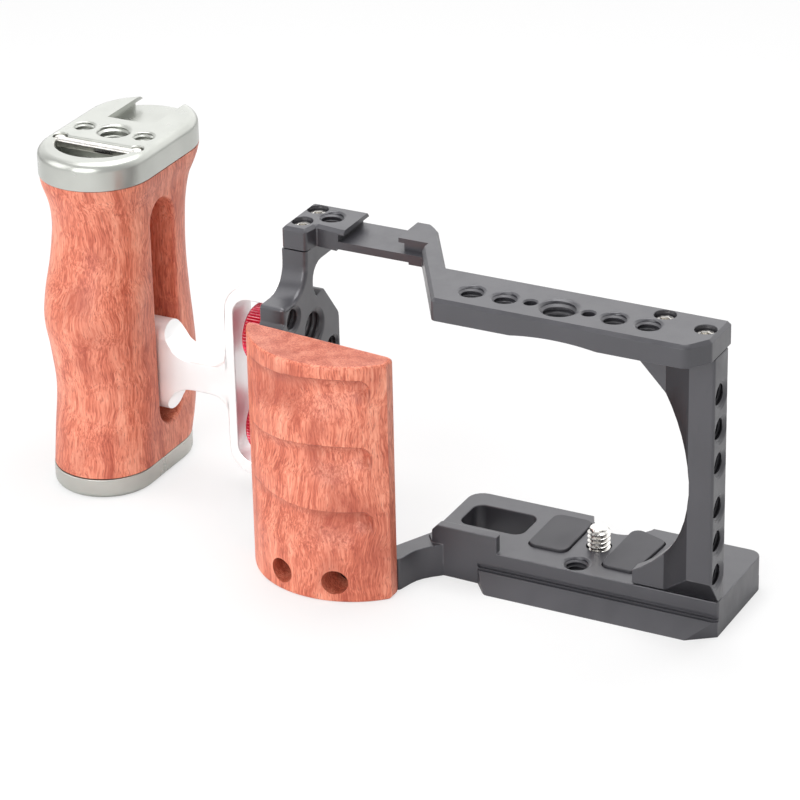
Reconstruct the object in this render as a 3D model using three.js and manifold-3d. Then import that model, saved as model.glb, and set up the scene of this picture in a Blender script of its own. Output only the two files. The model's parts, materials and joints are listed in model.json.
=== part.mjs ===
// A cage for a small camera, with a carved front grip and a side handle on a sliding arm.
// Millimetres. X runs from the side handle to the column, Y from the lens side to the back, Z up.
// While the pieces are made, X = 0 is the camera screw's axis, Y = 0 is the front face of the base
// and Z = 0 is its underside. The last lines move the origin to the bottom centre of the whole.

import * as THREE from 'three';
import { mergeVertices } from 'three/addons/utils/BufferGeometryUtils.js';
import Module from 'manifold-3d';

const wasm = await Module();
wasm.setup();

// Driving sizes shared by several pieces
const gap = 0.3; // between pieces that seat on each other
const over = 2; // how far a cutter runs past a face
const weld = 1e-4; // points nearer than this are one point
const chordError = 0.06; // how far a facet may cut inside the arc that it stands for
const cageRight = 40.8; // outer face of the column
const cageLeft = -91.6; // outer face of the grip side plate
const cageTop = 87.9; // top face of the top plate
const lens = { aboveBase: 34.1, clearance: 34.2 }; // the lens axis, and the radius kept free round it

// Threads and fasteners
const quarter = { hole: 6.4, mouth: 8, bolt: 6.0 }; // 1/4 inch camera thread
const threeEighths = { hole: 9.5, mouth: 11.4 }; // 3/8 inch camera thread
const studHole = { hole: quarter.hole, mouth: 7 }; // where a thumbwheel's stud screws in
const pinHole = { hole: 3.4, mouth: 4.2 }; // locating pin holes beside the 3/8 inch thread
const screw = { shank: 2.0, hole: 2.6, head: 5.2, headTall: 2.3, recess: 5.8, drop: 0.8, reach: 9 };
const footScrewReach = 5.4; // how far the lower screws run into the grip side plate
const clampBolt = { shank: 4.8, hole: 5.4, head: 8.2, headTall: 3, reach: 8 };
const roundSides = 12; // sides of a fastener
const fullRoundShare = 0.999; // share of a fillet's full radius that keeps its two ends apart
const holeSides = 18; // sides of a threaded hole

// Base plate, with the dovetail along its underside
const base = { thick: 10.1, depth: 31, left: -44.2, corner: 4.5, rightCorner: 3.4, edge: 1 };
const dovetail = { width: 38, reach: 5.2, lip: 0.8, left: -24.2, end: 4.2, corner: 2, slant: 7.2 };
const dovetailNotch = { deep: 0.4, tall: 1 }; // along the top of the dovetail's front slope
const baseWindow = { left: -39, right: -21.6, front: 12.2, back: 20.9, corner: 3.4 };
const bite = { x: 0.5, radius: 9, reach: 7 };
const tripodHole = { x: -1.3, y: 4.4 };
const lipWall = { fromEnd: 2.2, right: -22.7, thick: 3, tall: 4.9, corner: 1.2, slope: 1.8 };

// Front grip, carved from wood
const grip = { inset: 1, wide: 45.4, backLeft: -8.4, backRight: -12.9, bow: 18.2, tall: 69 };
const gripBlunt = { corner: 1.6, depth: 4.6 };
const gripEase = 1.1; // rounding of the top and bottom edge
const groove = { count: 3, fromTop: 4, pitch: 19, tall: 16.5, deep: 2.1, leftBand: 6.6, rightBand: 3.8 };
const grooveFloorShares = [0.25, 0.7]; // where each hollow starts to rise, and is half way out
const gripScrew = { spacing: 16, shift: 1.9, z: 6, counterbore: 7, headAt: 8 };

// Arm that carries the grip and the grip side plate
const arm = { tall: 9.4, thick: 5.5, root: -38.5, bend: 3, sweep: 11 };
const armWaist = { fromGrip: 1.6, y: -4.6 }; // where the arm turns back towards the base

// Column
const column = { back: 4, angledFrom: 15.4, angledTo: 6.9, webLeft: 16.4, webFoot: 5, screwIn: 1.8 };
const columnFoot = 7.4; // height over which the overhanging front face slopes back to the base
const columnEdge = 0.8;
const columnHoles = { rows: [-1, 0, 1], spacing: 9.7, fromAxis: 16, y: -0.4, deep: 7.4 };

// Grip side plate: heights are measured down from its top
const side = { thick: 7.4, front: 12, back: 29.6, shelfBack: 29.8, neckBack: 15.6, shelf: 4.9 };
const sideFlare = { front: -1, top: 11.3, drop: 15.8, foot: 23.4, radius: 7.5 };
const sideShoulder = { y: 21.4, top: 14, slopeTo: 24.4, notch: 1.6, notchDown: 14.8 };
const sideWindow = { front: -0.6, back: 20.3, top: 30.8, rise: 4.9, slant: 4.6, corner: 3.6 };
const sideThreads = { quarterY: 4.4, quarterDown: 16.5, largeY: 15.7, largeDown: 23.4 };

// Top plate with the accessory shoe
const top = { thick: 6.2, front: -13.5, back: 6.1, diagonalFront: -33.9, diagonalBack: -39.4 };
const topChamfer = { along: 6.4, across: 4.2 };
const topDiagonal = { front: 15.6, back: 14.7, backY: 27.4, end: 11.7 }; // from the shoe's centre
const shoe = { fromLeft: 24.6, width: 18.7, opening: 15.2, lip: 1.3, foot: 2, floor: 2.2 };
const shoePlan = { front: 15.7, back: 30.3, stopFront: 18 };
const block = { stepY: 16.6, leadIn: 0.2 };
const topEdge = 0.9;
const row = { y: -5.05, centre: -1.85, pin: 8.1, near: 15.2, far: 24.6 }; // threads along the top
const arch = { half: 12.4, rise: 1 };
const blockScrews = { fromLeft: 3.6, back: 26.4, front: 17.6 };
const blockHole = { fromLeft: 9.5, y: 23.4 };
const columnScrews = { inner: 16.7, innerY: 2.2, outer: 4, outerY: -1.8 }; // from the column's face

// Pads and camera screw
const pad = { thick: 1.3, sunk: 0.6, front: 8, back: 27, left: -17.7, right: -6.4, corner: 2.4 };
const padRight = { left: 4.9, right: 14.4, front: 5.3, back: 28.4, bulge: 15.8, bulgeY: 24.6 };
const cameraScrew = { x: 0, y: 15.75, proud: 5.7, bolt: 6.1, neck: 5, neckTall: 2, head: 11, headTall: 3 };
const cameraScrewSeat = { bore: 12, deep: 5, hole: 7, slot: 1.4, slotDeep: 1.2, headUp: 1.2 };

// Side handle
const handle = { tall: 100, half: 14.8, topHalf: 16.4, topCap: 6.5, bottomCap: 5.9 };
const handlePlan = { front: -2, back: 56.5, topFront: -2.7, bottomBack: 46.6 };
const wave = { front: 6.3, back: 8.6 }; // how deep the waists of the handle are
const frontWaveShares = [
  [0, 0.1], [0.11, 0.32], [0.26, 0.63], [0.41, 0.33], [0.52, 0.0], [0.61, 0.22],
  [0.7, 0.7], [0.795, 1.0], [0.885, 0.54], [0.95, 0.14], [1, -0.1],
];
const backWaveShares = [
  [0, 1.15], [0.08, 0.88], [0.17, 0.71], [0.28, 0.64], [0.37, 0.71], [0.52, 0.9],
  [0.66, 1.0], [0.79, 0.92], [0.86, 0.77], [0.91, 0.53], [0.95, 0.22], [1, 0.0],
];
const flareShare = 0.9; // share of the wood's height where it starts to widen to the top cap
const woodRings = 26;
const endSteps = 10; // steps round each end of the handle's oval section
const capEase = 1.8;
const slot = { y: 25.4, wide: 12, up: 8.8, down: 10.2, web: 6, bolt: 6.4 };
const strapPocket = { radius: 12.6, y: 19.5, far: 20.8, floor: 1.2 };
const strapBar = { long: 26, wide: 3.4, tall: 2.4, y: 17.2, drop: 0.4 };
const capShoe = { width: 18.6, opening: 14.6, floor: 3.3, lipThick: 1.2, from: 35.4 };
const capHoles = { y: 27, spacing: 9.5 };

// Sliding arm and hoop that carry the two thumbwheels
const link = { play: 0.7, z: 34.8, wide: 23.3 };
const linkWall = { left: 2.8, right: 3.4, ends: 3.8 };
const linkCorner = { outer: 8, inner: 5 };
const stem = { long: 21.5, tall: 8.8, headTall: 27, headProud: 1.2, drop: 1.8, flare: 5 };
const clampPlate = { thick: 5, boltSpacing: 13, headSunk: 1.6 };
const wheel = { radius: 8.2, teeth: 56, toothDeep: 0.45, boss: 5.4, edge: 0.7, apart: 10.8, clear: 3.1 };
const wheelInset = { left: 3.9, right: 2.2 }; // between the hoop's two bars and the knurled rim
const wheelTravel = 2.6; // room to unscrew, between the hoop's outer bar and the wheel's boss
const stud = { tip: 3.4, chamfer: 0.6 };

// Derived places
const topUnder = cageTop - top.thick;
const uprightTop = topUnder - gap;
const sideInner = cageLeft + side.thick;
const lensAxisZ = base.thick + lens.aboveBase;
const columnFront = -dovetail.reach;
const dovetailRight = cageRight - dovetail.slant;
const dovetailEnd = dovetail.left - dovetail.end;
const shoeCentre = cageLeft + shoe.fromLeft;
const shoeUnder = cageTop - shoe.lip;
const shoeFloor = shoeUnder - shoe.foot;
const gripLeft = cageLeft + grip.inset;
const gripRight = gripLeft + grip.wide;
const gripFront = grip.backLeft - grip.bow;
const gripSlope = (grip.backRight - grip.backLeft) / grip.wide;
const gripBackAt = (x) => grip.backLeft + gripSlope * (x - gripLeft);
const linkRight = cageLeft - gap;
const linkLeft = linkRight - link.wide;
const hoopLeft = linkLeft + linkWall.left;
const hoopRight = linkRight - linkWall.right;
const hoopHalf = wheel.apart / 2 + 2 * wheel.radius + wheel.clear + linkWall.ends;
const hoopTop = link.z + hoopHalf;
const hoopBottom = link.z - hoopHalf;
const slotFace = linkLeft - stem.long;
const handleX = slotFace - handle.half;
const webFront = handleX + slot.web / 2;
const webBack = handleX - slot.web / 2;
const armThick = slot.wide - 2 * link.play;
const headFront = slotFace + stem.headProud;
const headBack = webFront + gap;
const stemCentreZ = link.z - stem.drop;
const wheelZs = [link.z + (wheel.apart / 2 + wheel.radius), link.z - (wheel.apart / 2 + wheel.radius)];
const woodBottom = handle.bottomCap + gap;
const woodTop = handle.tall - handle.topCap - gap;
const slotBottom = woodBottom + slot.up;
const slotTop = woodTop - slot.down;

// Solids from three.js geometry, and back
function solidOf(geometry) {
  const bare = geometry.clone();
  bare.deleteAttribute('normal');
  bare.deleteAttribute('uv');
  const merged = mergeVertices(bare, weld);
  const corners = merged.index.array;
  const kept = [];
  for (let i = 0; i < corners.length; i += 3) {
    const [a, b, c] = [corners[i], corners[i + 1], corners[i + 2]];
    if (a !== b && b !== c && c !== a) kept.push(a, b, c);
  }
  const places = merged.attributes.position.array;
  if (volumeOf(places, kept) < 0) kept.reverse();
  return new wasm.Manifold(new wasm.Mesh({
    numProp: 3,
    vertProperties: places,
    triVerts: new Uint32Array(kept),
  }));
}

function volumeOf(places, corners) {
  const corner = (n) => new THREE.Vector3().fromArray(places, 3 * n);
  let sum = 0;
  for (let i = 0; i < corners.length; i += 3) {
    const [a, b, c] = [corner(corners[i]), corner(corners[i + 1]), corner(corners[i + 2])];
    sum += a.dot(b.cross(c));
  }
  return sum;
}

function geometryOf(solid) {
  const { vertProperties, triVerts } = solid.getMesh();
  const geometry = new THREE.BufferGeometry();
  geometry.setAttribute('position', new THREE.BufferAttribute(vertProperties, 3));
  geometry.setIndex(new THREE.BufferAttribute(triVerts, 1));
  geometry.computeVertexNormals();
  return geometry;
}

const joined = (...solids) => solids.reduce((whole, next) => whole.add(next));
const cutBy = (solid, ...tools) => tools.reduce((rest, tool) => rest.subtract(tool), solid);

// The turn of one facet on an arc of this radius
const turnFor = (radius) => 2 * Math.acos(1 - Math.min(chordError / radius, Math.SQRT1_2));

// Outlines: each corner is [u, v] or [u, v, radius]
function outline(corners) {
  const points = [];
  corners.forEach(([u, v, radius = 0], i) => {
    const here = new THREE.Vector2(u, v);
    if (radius === 0) {
      points.push(here);
      return;
    }
    const before = corners.at(i - 1);
    const after = corners[(i + 1) % corners.length];
    const back = new THREE.Vector2(before[0] - u, before[1] - v).normalize();
    const ahead = new THREE.Vector2(after[0] - u, after[1] - v).normalize();
    const half = Math.acos(THREE.MathUtils.clamp(back.dot(ahead), -1, 1)) / 2;
    const turn = Math.PI - 2 * half;
    const run = radius / Math.tan(half);
    const middle = back.clone().add(ahead).normalize().multiplyScalar(radius / Math.sin(half)).add(here);
    const start = here.clone().addScaledVector(back, run).sub(middle);
    const sense = Math.sign(back.cross(ahead));
    const steps = Math.max(1, Math.ceil(turn / turnFor(radius)));
    for (let k = 0; k <= steps; k += 1) {
      points.push(start.clone().rotateAround(new THREE.Vector2(), -sense * turn * k / steps).add(middle));
    }
  });
  return points;
}

const sidesFor = (radius) => 2 * Math.ceil(Math.PI / turnFor(radius));

function circlePoints(u, v, radius, sides = sidesFor(radius)) {
  return Array.from({ length: sides }, (_, k) => {
    const angle = 2 * Math.PI * (k + 0.5) / sides;
    return new THREE.Vector2(u + radius * Math.cos(angle), v + radius * Math.sin(angle));
  });
}

// Each axis has the matrix that lays an outline's u, v and its extrusion on X, Y, Z
const bases = {
  x: new THREE.Matrix4().makeBasis(
    new THREE.Vector3(0, 1, 0), new THREE.Vector3(0, 0, 1), new THREE.Vector3(1, 0, 0)),
  y: new THREE.Matrix4().makeBasis(
    new THREE.Vector3(1, 0, 0), new THREE.Vector3(0, 0, 1), new THREE.Vector3(0, -1, 0)),
  z: new THREE.Matrix4(),
};

// A prism of an outline along an axis: (y, z) for x, (x, z) for y, (x, y) for z
function prism(axis, points, from, to) {
  const geometry = new THREE.ExtrudeGeometry(new THREE.Shape(points), {
    depth: to - from,
    bevelEnabled: false,
    steps: 1,
  });
  geometry.translate(0, 0, axis === 'y' ? -to : from);
  geometry.applyMatrix4(bases[axis]);
  return solidOf(geometry);
}

function brick(x0, x1, y0, y1, z0, z1) {
  const geometry = new THREE.BoxGeometry(x1 - x0, y1 - y0, z1 - z0);
  geometry.translate((x0 + x1) / 2, (y0 + y1) / 2, (z0 + z1) / 2);
  return solidOf(geometry);
}

// A turned piece: the profile lists [radius, distance along the axis], from end to end on the axis
function turned(axis, profile, centre, sides = holeSides) {
  const points = profile.map(([radius, along]) => new THREE.Vector2(radius, along));
  const geometry = new THREE.LatheGeometry(points, sides);
  geometry.rotateX(Math.PI / 2);
  geometry.applyMatrix4(bases[axis]);
  geometry.translate(...centre);
  return solidOf(geometry);
}

// A threaded hole's cutter: a bore with a countersunk mouth, entering at `at` towards `sense`
function threadCutter(axis, size, at, sense, deep, farMouth = false) {
  const ease = (size.mouth - size.hole) / 2;
  const [bore, mouth] = [size.hole / 2, size.mouth / 2];
  const profile = [[0, -over], [mouth, -over], [mouth, 0], [bore, ease]];
  if (farMouth) profile.push([bore, deep - ease], [mouth, deep], [mouth, deep + over], [0, deep + over]);
  else profile.push([bore, deep], [0, deep]);
  return turned(axis, profile.map(([radius, along]) => [radius, along * sense]), at);
}

// A fastener: a cap head with its underside at `seat`, and a shank that runs on towards `sense`
function fastener(axis, seat, sense, reach, size = screw) {
  const ease = (size.head - size.shank) / 6;
  const profile = [
    [0, -size.headTall], [size.head / 2 - ease, -size.headTall], [size.head / 2, -size.headTall + ease],
    [size.head / 2, 0], [size.shank / 2, 0], [size.shank / 2, reach - ease],
    [size.shank / 2 - ease, reach], [0, reach],
  ];
  return turned(axis, profile.map(([radius, along]) => [radius, along * sense]), seat, roundSides);
}

// The cutter for that fastener: a clearance bore and a recess for the head
function fastenerCutter(axis, face, sense, deep, headDrop, recess = screw.recess, size = screw) {
  const floor = headDrop + size.headTall + gap;
  const hole = size.hole;
  const profile = [
    [0, -over], [recess / 2, -over], [recess / 2, floor], [hole / 2, floor], [hole / 2, deep], [0, deep],
  ];
  return turned(axis, profile.map(([radius, along]) => [radius, along * sense]), face, holeSides);
}

// A blind hole for a screw's shank
const tapping = (axis, face, sense, deep, size = screw) => turned(axis, [
  [0, -over], [size.hole / 2, -over], [size.hole / 2, deep], [0, deep],
].map(([radius, along]) => [radius, along * sense]), face, roundSides);

// Materials
const finish = (color, roughness, metalness) => (
  new THREE.MeshStandardMaterial({ color, roughness, metalness }));
const blackAnodised = finish(0x3a3a3f, 0.45, 0.7);
const greyAnodised = finish(0x9a9d97, 0.35, 0.85);
const brightAluminium = finish(0xd9d9d8, 0.3, 0.9);
const redAnodised = finish(0xb01c2c, 0.35, 0.8);
const rosewood = finish(0xb5553c, 0.55, 0);
const steel = finish(0xb8b4ac, 0.25, 1);
const blackSteel = finish(0x1d1d1f, 0.4, 0.9);
const rubber = finish(0x2c2c30, 0.85, 0);

const camera_cage = new THREE.Group();

function add(name, solid, material) {
  const mesh = new THREE.Mesh(geometryOf(solid), material);
  mesh.name = name;
  camera_cage.add(mesh);
}

// Base plate
function dovetailSolid() {
  const front = -dovetail.reach;
  const back = front + dovetail.width;
  const slopeTop = dovetail.reach - dovetail.lip;
  const plan = outline([
    [dovetailEnd, 0], [dovetail.left, front, dovetail.corner], [dovetailRight, front],
    [cageRight, 0], [cageRight, base.depth],
    [dovetailRight, back], [dovetail.left, back, dovetail.corner], [dovetailEnd, base.depth],
  ]);
  const section = [
    [front, 0], [back, 0], [back - slopeTop, slopeTop], [-dovetail.lip, slopeTop],
  ].map(([y, z]) => new THREE.Vector2(y, z));
  const length = [dovetailEnd - over, cageRight + over];
  return prism('z', plan, 0, slopeTop).intersect(prism('x', section, ...length));
}

function dovetailNotches() {
  const slopeTop = dovetail.reach - dovetail.lip;
  const back = dovetail.width - dovetail.reach - slopeTop;
  const [from, to] = [dovetailEnd, cageRight + over];
  const notch = dovetailNotch;
  const frontNotch = [
    [-dovetail.reach, slopeTop], [-dovetail.lip, slopeTop], [notch.deep, slopeTop + notch.tall],
    [0, slopeTop + 2 * notch.tall], [-dovetail.reach, slopeTop + 2 * notch.tall],
  ];
  const backNotch = [
    [back, slopeTop], [base.depth + over, slopeTop], [base.depth + over, slopeTop + base.depth - back],
    [base.depth, slopeTop + base.depth - back],
  ];
  const below = [
    [back, slopeTop], [back + slopeTop, 0], [base.depth + over, 0], [base.depth + over, slopeTop],
  ];
  return [frontNotch, backNotch, below].map((points) => prism('x', outline(points), from, to));
}

function basePlate() {
  const lipLeft = base.left + lipWall.fromEnd;
  const platePlan = outline([
    [lipLeft, 0], [cageRight, 0, base.edge], [cageRight, base.depth, base.rightCorner],
    [base.left, base.depth, base.corner], [base.left, lipWall.thick],
  ]);
  const inner = gap + arm.thick;
  const backLine = (x) => gripBackAt(x) + inner;
  const armPlan = outline([
    [base.left + base.corner, base.edge], [arm.root, base.edge], [arm.root, 0, base.edge],
    [gripRight + armWaist.fromGrip, armWaist.y, arm.sweep],
    [gripRight - gap, gripBackAt(gripRight) + gap, base.edge],
    [cageLeft, gripBackAt(cageLeft) + gap, base.edge],
    [cageLeft, side.back, base.edge], [sideInner, side.back, base.edge],
    [sideInner, backLine(sideInner), arm.bend],
    [gripRight - arm.thick, backLine(gripRight), arm.bend],
    [base.left, base.depth / 5, base.edge], [base.left + base.corner, base.depth / 5],
  ]);
  const lipPlan = outline([
    [lipWall.right, 0], [lipWall.right, lipWall.thick, lipWall.corner],
    [lipLeft + lipWall.thick / 2, lipWall.thick, lipWall.corner], [lipLeft, 0],
  ]);
  const lipTop = base.thick + lipWall.tall;
  const lipFace = outline([
    [lipLeft, 0], [lipWall.right, 0], [lipWall.right, lipTop], [lipLeft + lipWall.slope, lipTop],
    [lipLeft, lipTop - lipWall.slope],
  ]);
  const { left, right, front, back, corner } = baseWindow;
  const windowPlan = outline([
    [left, front, corner], [right, front, corner], [right, back, corner], [left, back, corner],
  ]);
  const biteDepth = base.depth - bite.reach + bite.radius;
  const bitePlan = circlePoints(bite.x, biteDepth, bite.radius);
  const body = joined(
    prism('z', platePlan, 0, base.thick),
    prism('z', armPlan, 0, arm.tall),
    prism('z', lipPlan, base.edge, lipTop).intersect(prism('y', lipFace, 0, lipWall.thick)),
    dovetailSolid(),
  );
  return cutBy(
    body,
    ...dovetailNotches(),
    prism('z', windowPlan, -over, base.thick + over),
    prism('z', bitePlan, -over, base.thick + over),
    threadCutter('z', quarter, [tripodHole.x, tripodHole.y, base.thick], -1, base.thick, true),
    ...padOutlines().map((plan) => prism('z', plan(gap), base.thick - pad.sunk - gap, base.thick + over)),
    ...cameraScrewBores(),
    ...columnFootScrews().map(([x, y]) => fastenerCutter('z', [x, y, 0], 1, base.thick + over, screw.drop)),
    ...sideFootScrews().map(([x, y]) => fastenerCutter('z', [x, y, 0], 1, arm.tall + over, screw.drop)),
    ...gripScrewPlaces().map((x) => tapping('y', [x, gripBackAt(x), gripScrew.z], -1, arm.thick + over)),
  );
}

const columnFootScrews = () => [
  [(cageRight - column.angledFrom + column.webLeft) / 2, column.back - column.screwIn],
  [cageRight - column.angledTo / 2 - columnEdge, column.back - column.screwIn],
];
const sideFootScrews = () => {
  const x = (cageLeft + sideInner) / 2;
  return [[x, side.thick / 4], [x, side.back - side.thick / 2]];
};
const gripScrewPlaces = () => {
  const middle = (gripLeft + gripRight) / 2 + gripScrew.shift;
  return [middle - gripScrew.spacing / 2, middle + gripScrew.spacing / 2];
};

// Pads: each is a function of how much wider than the pad its pocket is
function padOutlines() {
  const corner = pad.corner;
  const leftPad = (room) => outline([
    [pad.left - room, pad.front - room, corner], [pad.right + room, pad.front - room, corner],
    [pad.right + room, pad.back + room, corner], [pad.left - room, pad.back + room, corner],
  ]);
  const rightPad = (room) => outline([
    [padRight.left - room, padRight.front - room, corner],
    [padRight.right + room, padRight.front - room, corner / 2],
    [padRight.bulge + room, padRight.bulgeY + room, corner],
    [padRight.left - room, padRight.back + room, corner],
  ]);
  return [leftPad, rightPad];
}

function cameraScrewBores() {
  const seat = cameraScrewSeat;
  const bore = [[0, -over], [seat.bore / 2, -over], [seat.bore / 2, seat.deep], [seat.hole / 2, seat.deep],
    [seat.hole / 2, base.thick + over], [0, base.thick + over]];
  return [turned('z', bore, [cameraScrew.x, cameraScrew.y, 0], 2 * roundSides)];
}

function cameraScrewSolid() {
  const from = cameraScrewSeat.headUp;
  const shoulder = from + cameraScrew.headTall;
  const neckTop = base.thick - cameraScrew.neckTall;
  const tip = base.thick + cameraScrew.proud;
  const [head, neck, bolt] = [cameraScrew.head / 2, cameraScrew.neck / 2, cameraScrew.bolt / 2];
  const ease = bolt - neck;
  const body = turned('z', [
    [0, from], [head - ease / 2, from], [head, from + ease / 2], [head, shoulder], [neck, shoulder],
    [neck, neckTop], [bolt, neckTop + ease], [bolt, tip - ease], [neck, tip], [0, tip],
  ], [cameraScrew.x, cameraScrew.y, 0]);
  const [half, deep] = [cameraScrewSeat.slot / 2, from + cameraScrewSeat.slotDeep];
  const { x, y } = cameraScrew;
  return cutBy(body, brick(x - head - over, x + head + over, y - half, y + half, from - over, deep));
}

// Column
function sideColumn() {
  const foot = base.thick + gap;
  const plan = outline([
    [column.webLeft, 0], [cageRight - column.angledFrom, 0], [cageRight - column.angledTo, columnFront],
    [cageRight, columnFront, columnEdge], [cageRight, column.back, columnEdge],
    [column.webLeft - base.depth / 2, column.back], [column.webLeft - base.depth / 2, 0],
  ]);
  const span = [columnFront - over, column.back + over];
  const clearance = lens.clearance;
  const across = clearance * Math.SQRT1_2;
  const webFoot = foot + column.webFoot;
  const footSpace = [[-clearance, foot - over], [column.webLeft, foot - over],
    [column.webLeft, webFoot], [-clearance, webFoot]];
  const archEnd = column.webLeft - (uprightTop - lensAxisZ - across) / 2;
  const headSpace = [[-clearance, lensAxisZ], [across, lensAxisZ], [across, lensAxisZ + across],
    [archEnd, uprightTop + over], [-clearance, uprightTop + over]];
  const slope = [[columnFront - over, foot - over], [0, foot - over], [0, foot],
    [columnFront, foot + columnFoot], [columnFront - over, foot + columnFoot]];
  const holeZs = [lensAxisZ + columnHoles.fromAxis, lensAxisZ - columnHoles.fromAxis].flatMap((z) => (
    columnHoles.rows.map((n) => z + n * columnHoles.spacing)));
  const body = cutBy(
    prism('z', plan, foot, uprightTop),
    prism('y', circlePoints(0, lensAxisZ, clearance), ...span),
    prism('y', outline(footSpace), ...span),
    prism('y', outline(headSpace), ...span),
    prism('x', outline(slope), -clearance, cageRight + over),
  );
  return cutBy(
    body,
    ...holeZs.map((z) => threadCutter('x', quarter, [cageRight, columnHoles.y, z], -1, columnHoles.deep)),
    ...columnFootScrews().map(([x, y]) => tapping('z', [x, y, foot], 1, footDepth(x))),
    ...topColumnScrews().map(([x, y]) => tapping('z', [x, y, uprightTop], -1, screw.reach)),
  );
}

const footDepth = (x) => (x < cageRight - column.angledFrom ? column.webFoot : screw.reach);
const topColumnScrews = () => [
  [cageRight - columnScrews.inner, columnScrews.innerY],
  [cageRight - columnScrews.outer, columnScrews.outerY],
];
const topSideScrews = () => [blockScrews.back, blockScrews.front].map((y) => (
  [cageLeft + blockScrews.fromLeft, y]));

// Grip side plate
function sidePlate() {
  const foot = arm.tall + gap;
  const footFront = gripBackAt(cageLeft) + gap;
  const down = (depth) => uprightTop - depth;
  const shoulder = sideShoulder;
  const plate = outline([
    [side.front, uprightTop], [side.front, down(sideFlare.top), sideFlare.radius],
    [sideFlare.front, down(sideFlare.top), base.edge], [sideFlare.front, down(sideFlare.drop), base.edge],
    [footFront, down(sideFlare.foot), arm.bend], [footFront, foot], [side.back, foot],
    [side.back, down(shoulder.slopeTo), arm.bend], [shoulder.y, down(shoulder.top), base.edge],
    [shoulder.y - shoulder.notch, down(shoulder.top)],
    [side.neckBack + shoulder.notch, down(shoulder.notchDown), base.edge / 2],
    [side.neckBack, down(shoulder.notchDown - 2 * shoulder.notch), base.edge],
    [side.neckBack, down(side.shelf), shoulder.y - side.neckBack - base.edge],
    [side.shelfBack, down(side.shelf), base.edge], [side.shelfBack, uprightTop],
  ]);
  const windowTop = down(sideWindow.top);
  const windowBottom = foot + sideWindow.rise;
  const opening = outline([
    [sideWindow.front, windowBottom, sideWindow.corner], [sideWindow.back, windowBottom, sideWindow.corner],
    [sideWindow.back, windowTop, base.edge / 2],
    [sideWindow.front, windowTop - sideWindow.slant, sideWindow.corner],
  ]);
  const threads = [
    [quarter, sideThreads.quarterY, down(sideThreads.quarterDown)],
    [threeEighths, sideThreads.largeY, down(sideThreads.largeDown)],
    ...wheelZs.map((z) => [studHole, slot.y, z]),
  ];
  return cutBy(
    prism('x', plate, cageLeft, sideInner),
    prism('x', opening, cageLeft - over, sideInner + over),
    ...threads.map(([size, y, z]) => threadCutter('x', size, [sideInner, y, z], -1, side.thick, true)),
    ...sideFootScrews().map(([x, y]) => tapping('z', [x, y, foot], 1, footScrewReach)),
    ...topSideScrews().map(([x, y]) => tapping('z', [x, y, uprightTop], -1, screw.reach)),
  );
}

// Top plate
function topPlate() {
  const channel = [shoeCentre - shoe.width / 2, shoeCentre + shoe.width / 2];
  const blockEnd = channel[0] + block.leadIn;
  const plan = outline([
    [cageLeft, side.front, topEdge], [sideInner, side.front, topEdge],
    [sideInner + topEdge, block.stepY, topEdge], [blockEnd, shoePlan.front, topEdge],
    [shoeCentre + topDiagonal.front, shoePlan.front], [top.diagonalFront, top.front, topEdge],
    [cageRight - topChamfer.along, top.front, topEdge],
    [cageRight, top.front + topChamfer.across, topEdge],
    [cageRight, top.back, topEdge], [top.diagonalBack, top.back, topEdge],
    [shoeCentre + topDiagonal.back, topDiagonal.backY, arm.bend],
    [shoeCentre + topDiagonal.end, shoePlan.back, topEdge],
    [cageLeft, shoePlan.back, topEdge],
  ]);
  const mouth = [shoeCentre - shoe.opening / 2, shoeCentre + shoe.opening / 2];
  const along = [side.front - over, shoePlan.back + over];
  const archRadius = (arch.half ** 2 + arch.rise ** 2) / (2 * arch.rise);
  const archPoints = circlePoints(0, topUnder + arch.rise - archRadius, archRadius);
  const behind = [mouth[1], shoeCentre + topDiagonal.front + topEdge];
  const rows = [
    [threeEighths, 0], [pinHole, row.pin], [quarter, row.near], [quarter, row.far],
  ].flatMap(([size, x]) => (x === 0 ? [[size, x]] : [[size, x], [size, -x]]));
  const throughAt = (size, x, y) => threadCutter('z', size, [x, y, cageTop], -1, top.thick, true);
  return cutBy(
    prism('z', plan, topUnder, cageTop),
    brick(...channel, ...along, shoeFloor, shoeUnder),
    brick(...mouth, ...along, shoeFloor, cageTop + over),
    brick(...behind, side.front, shoePlan.stopFront, shoeFloor, cageTop + over),
    brick(blockEnd - topEdge, shoeCentre + topDiagonal.end, ...along,
      topUnder - over, shoeFloor - shoe.floor),
    prism('y', archPoints, top.front - over, top.back + over),
    ...rows.map(([size, x]) => throughAt(size, row.centre + x, row.y)),
    throughAt(quarter, cageLeft + blockHole.fromLeft, blockHole.y),
    ...[...topSideScrews(), ...topColumnScrews()].map(([x, y]) => (
      fastenerCutter('z', [x, y, cageTop], -1, top.thick + over, screw.drop))),
  );
}

// Front grip: a bow-fronted block, hollowed for three fingers
function circleThrough(a, b, c) {
  const [towardsB, towardsC] = [b.clone().sub(a), c.clone().sub(a)];
  const twice = 2 * towardsB.cross(towardsC);
  const x = (towardsC.y * towardsB.lengthSq() - towardsB.y * towardsC.lengthSq()) / twice;
  const y = (towardsB.x * towardsC.lengthSq() - towardsC.x * towardsB.lengthSq()) / twice;
  const centre = new THREE.Vector2(x, y).add(a);
  return { centre, radius: centre.distanceTo(a) };
}

function gripArc() {
  const left = new THREE.Vector2(gripLeft, grip.backLeft - gripBlunt.corner);
  const right = new THREE.Vector2(gripRight, grip.backRight - gripBlunt.depth);
  const middle = new THREE.Vector2((gripLeft + gripRight) / 2, gripFront);
  return { ...circleThrough(left, middle, right), left, right };
}

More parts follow.
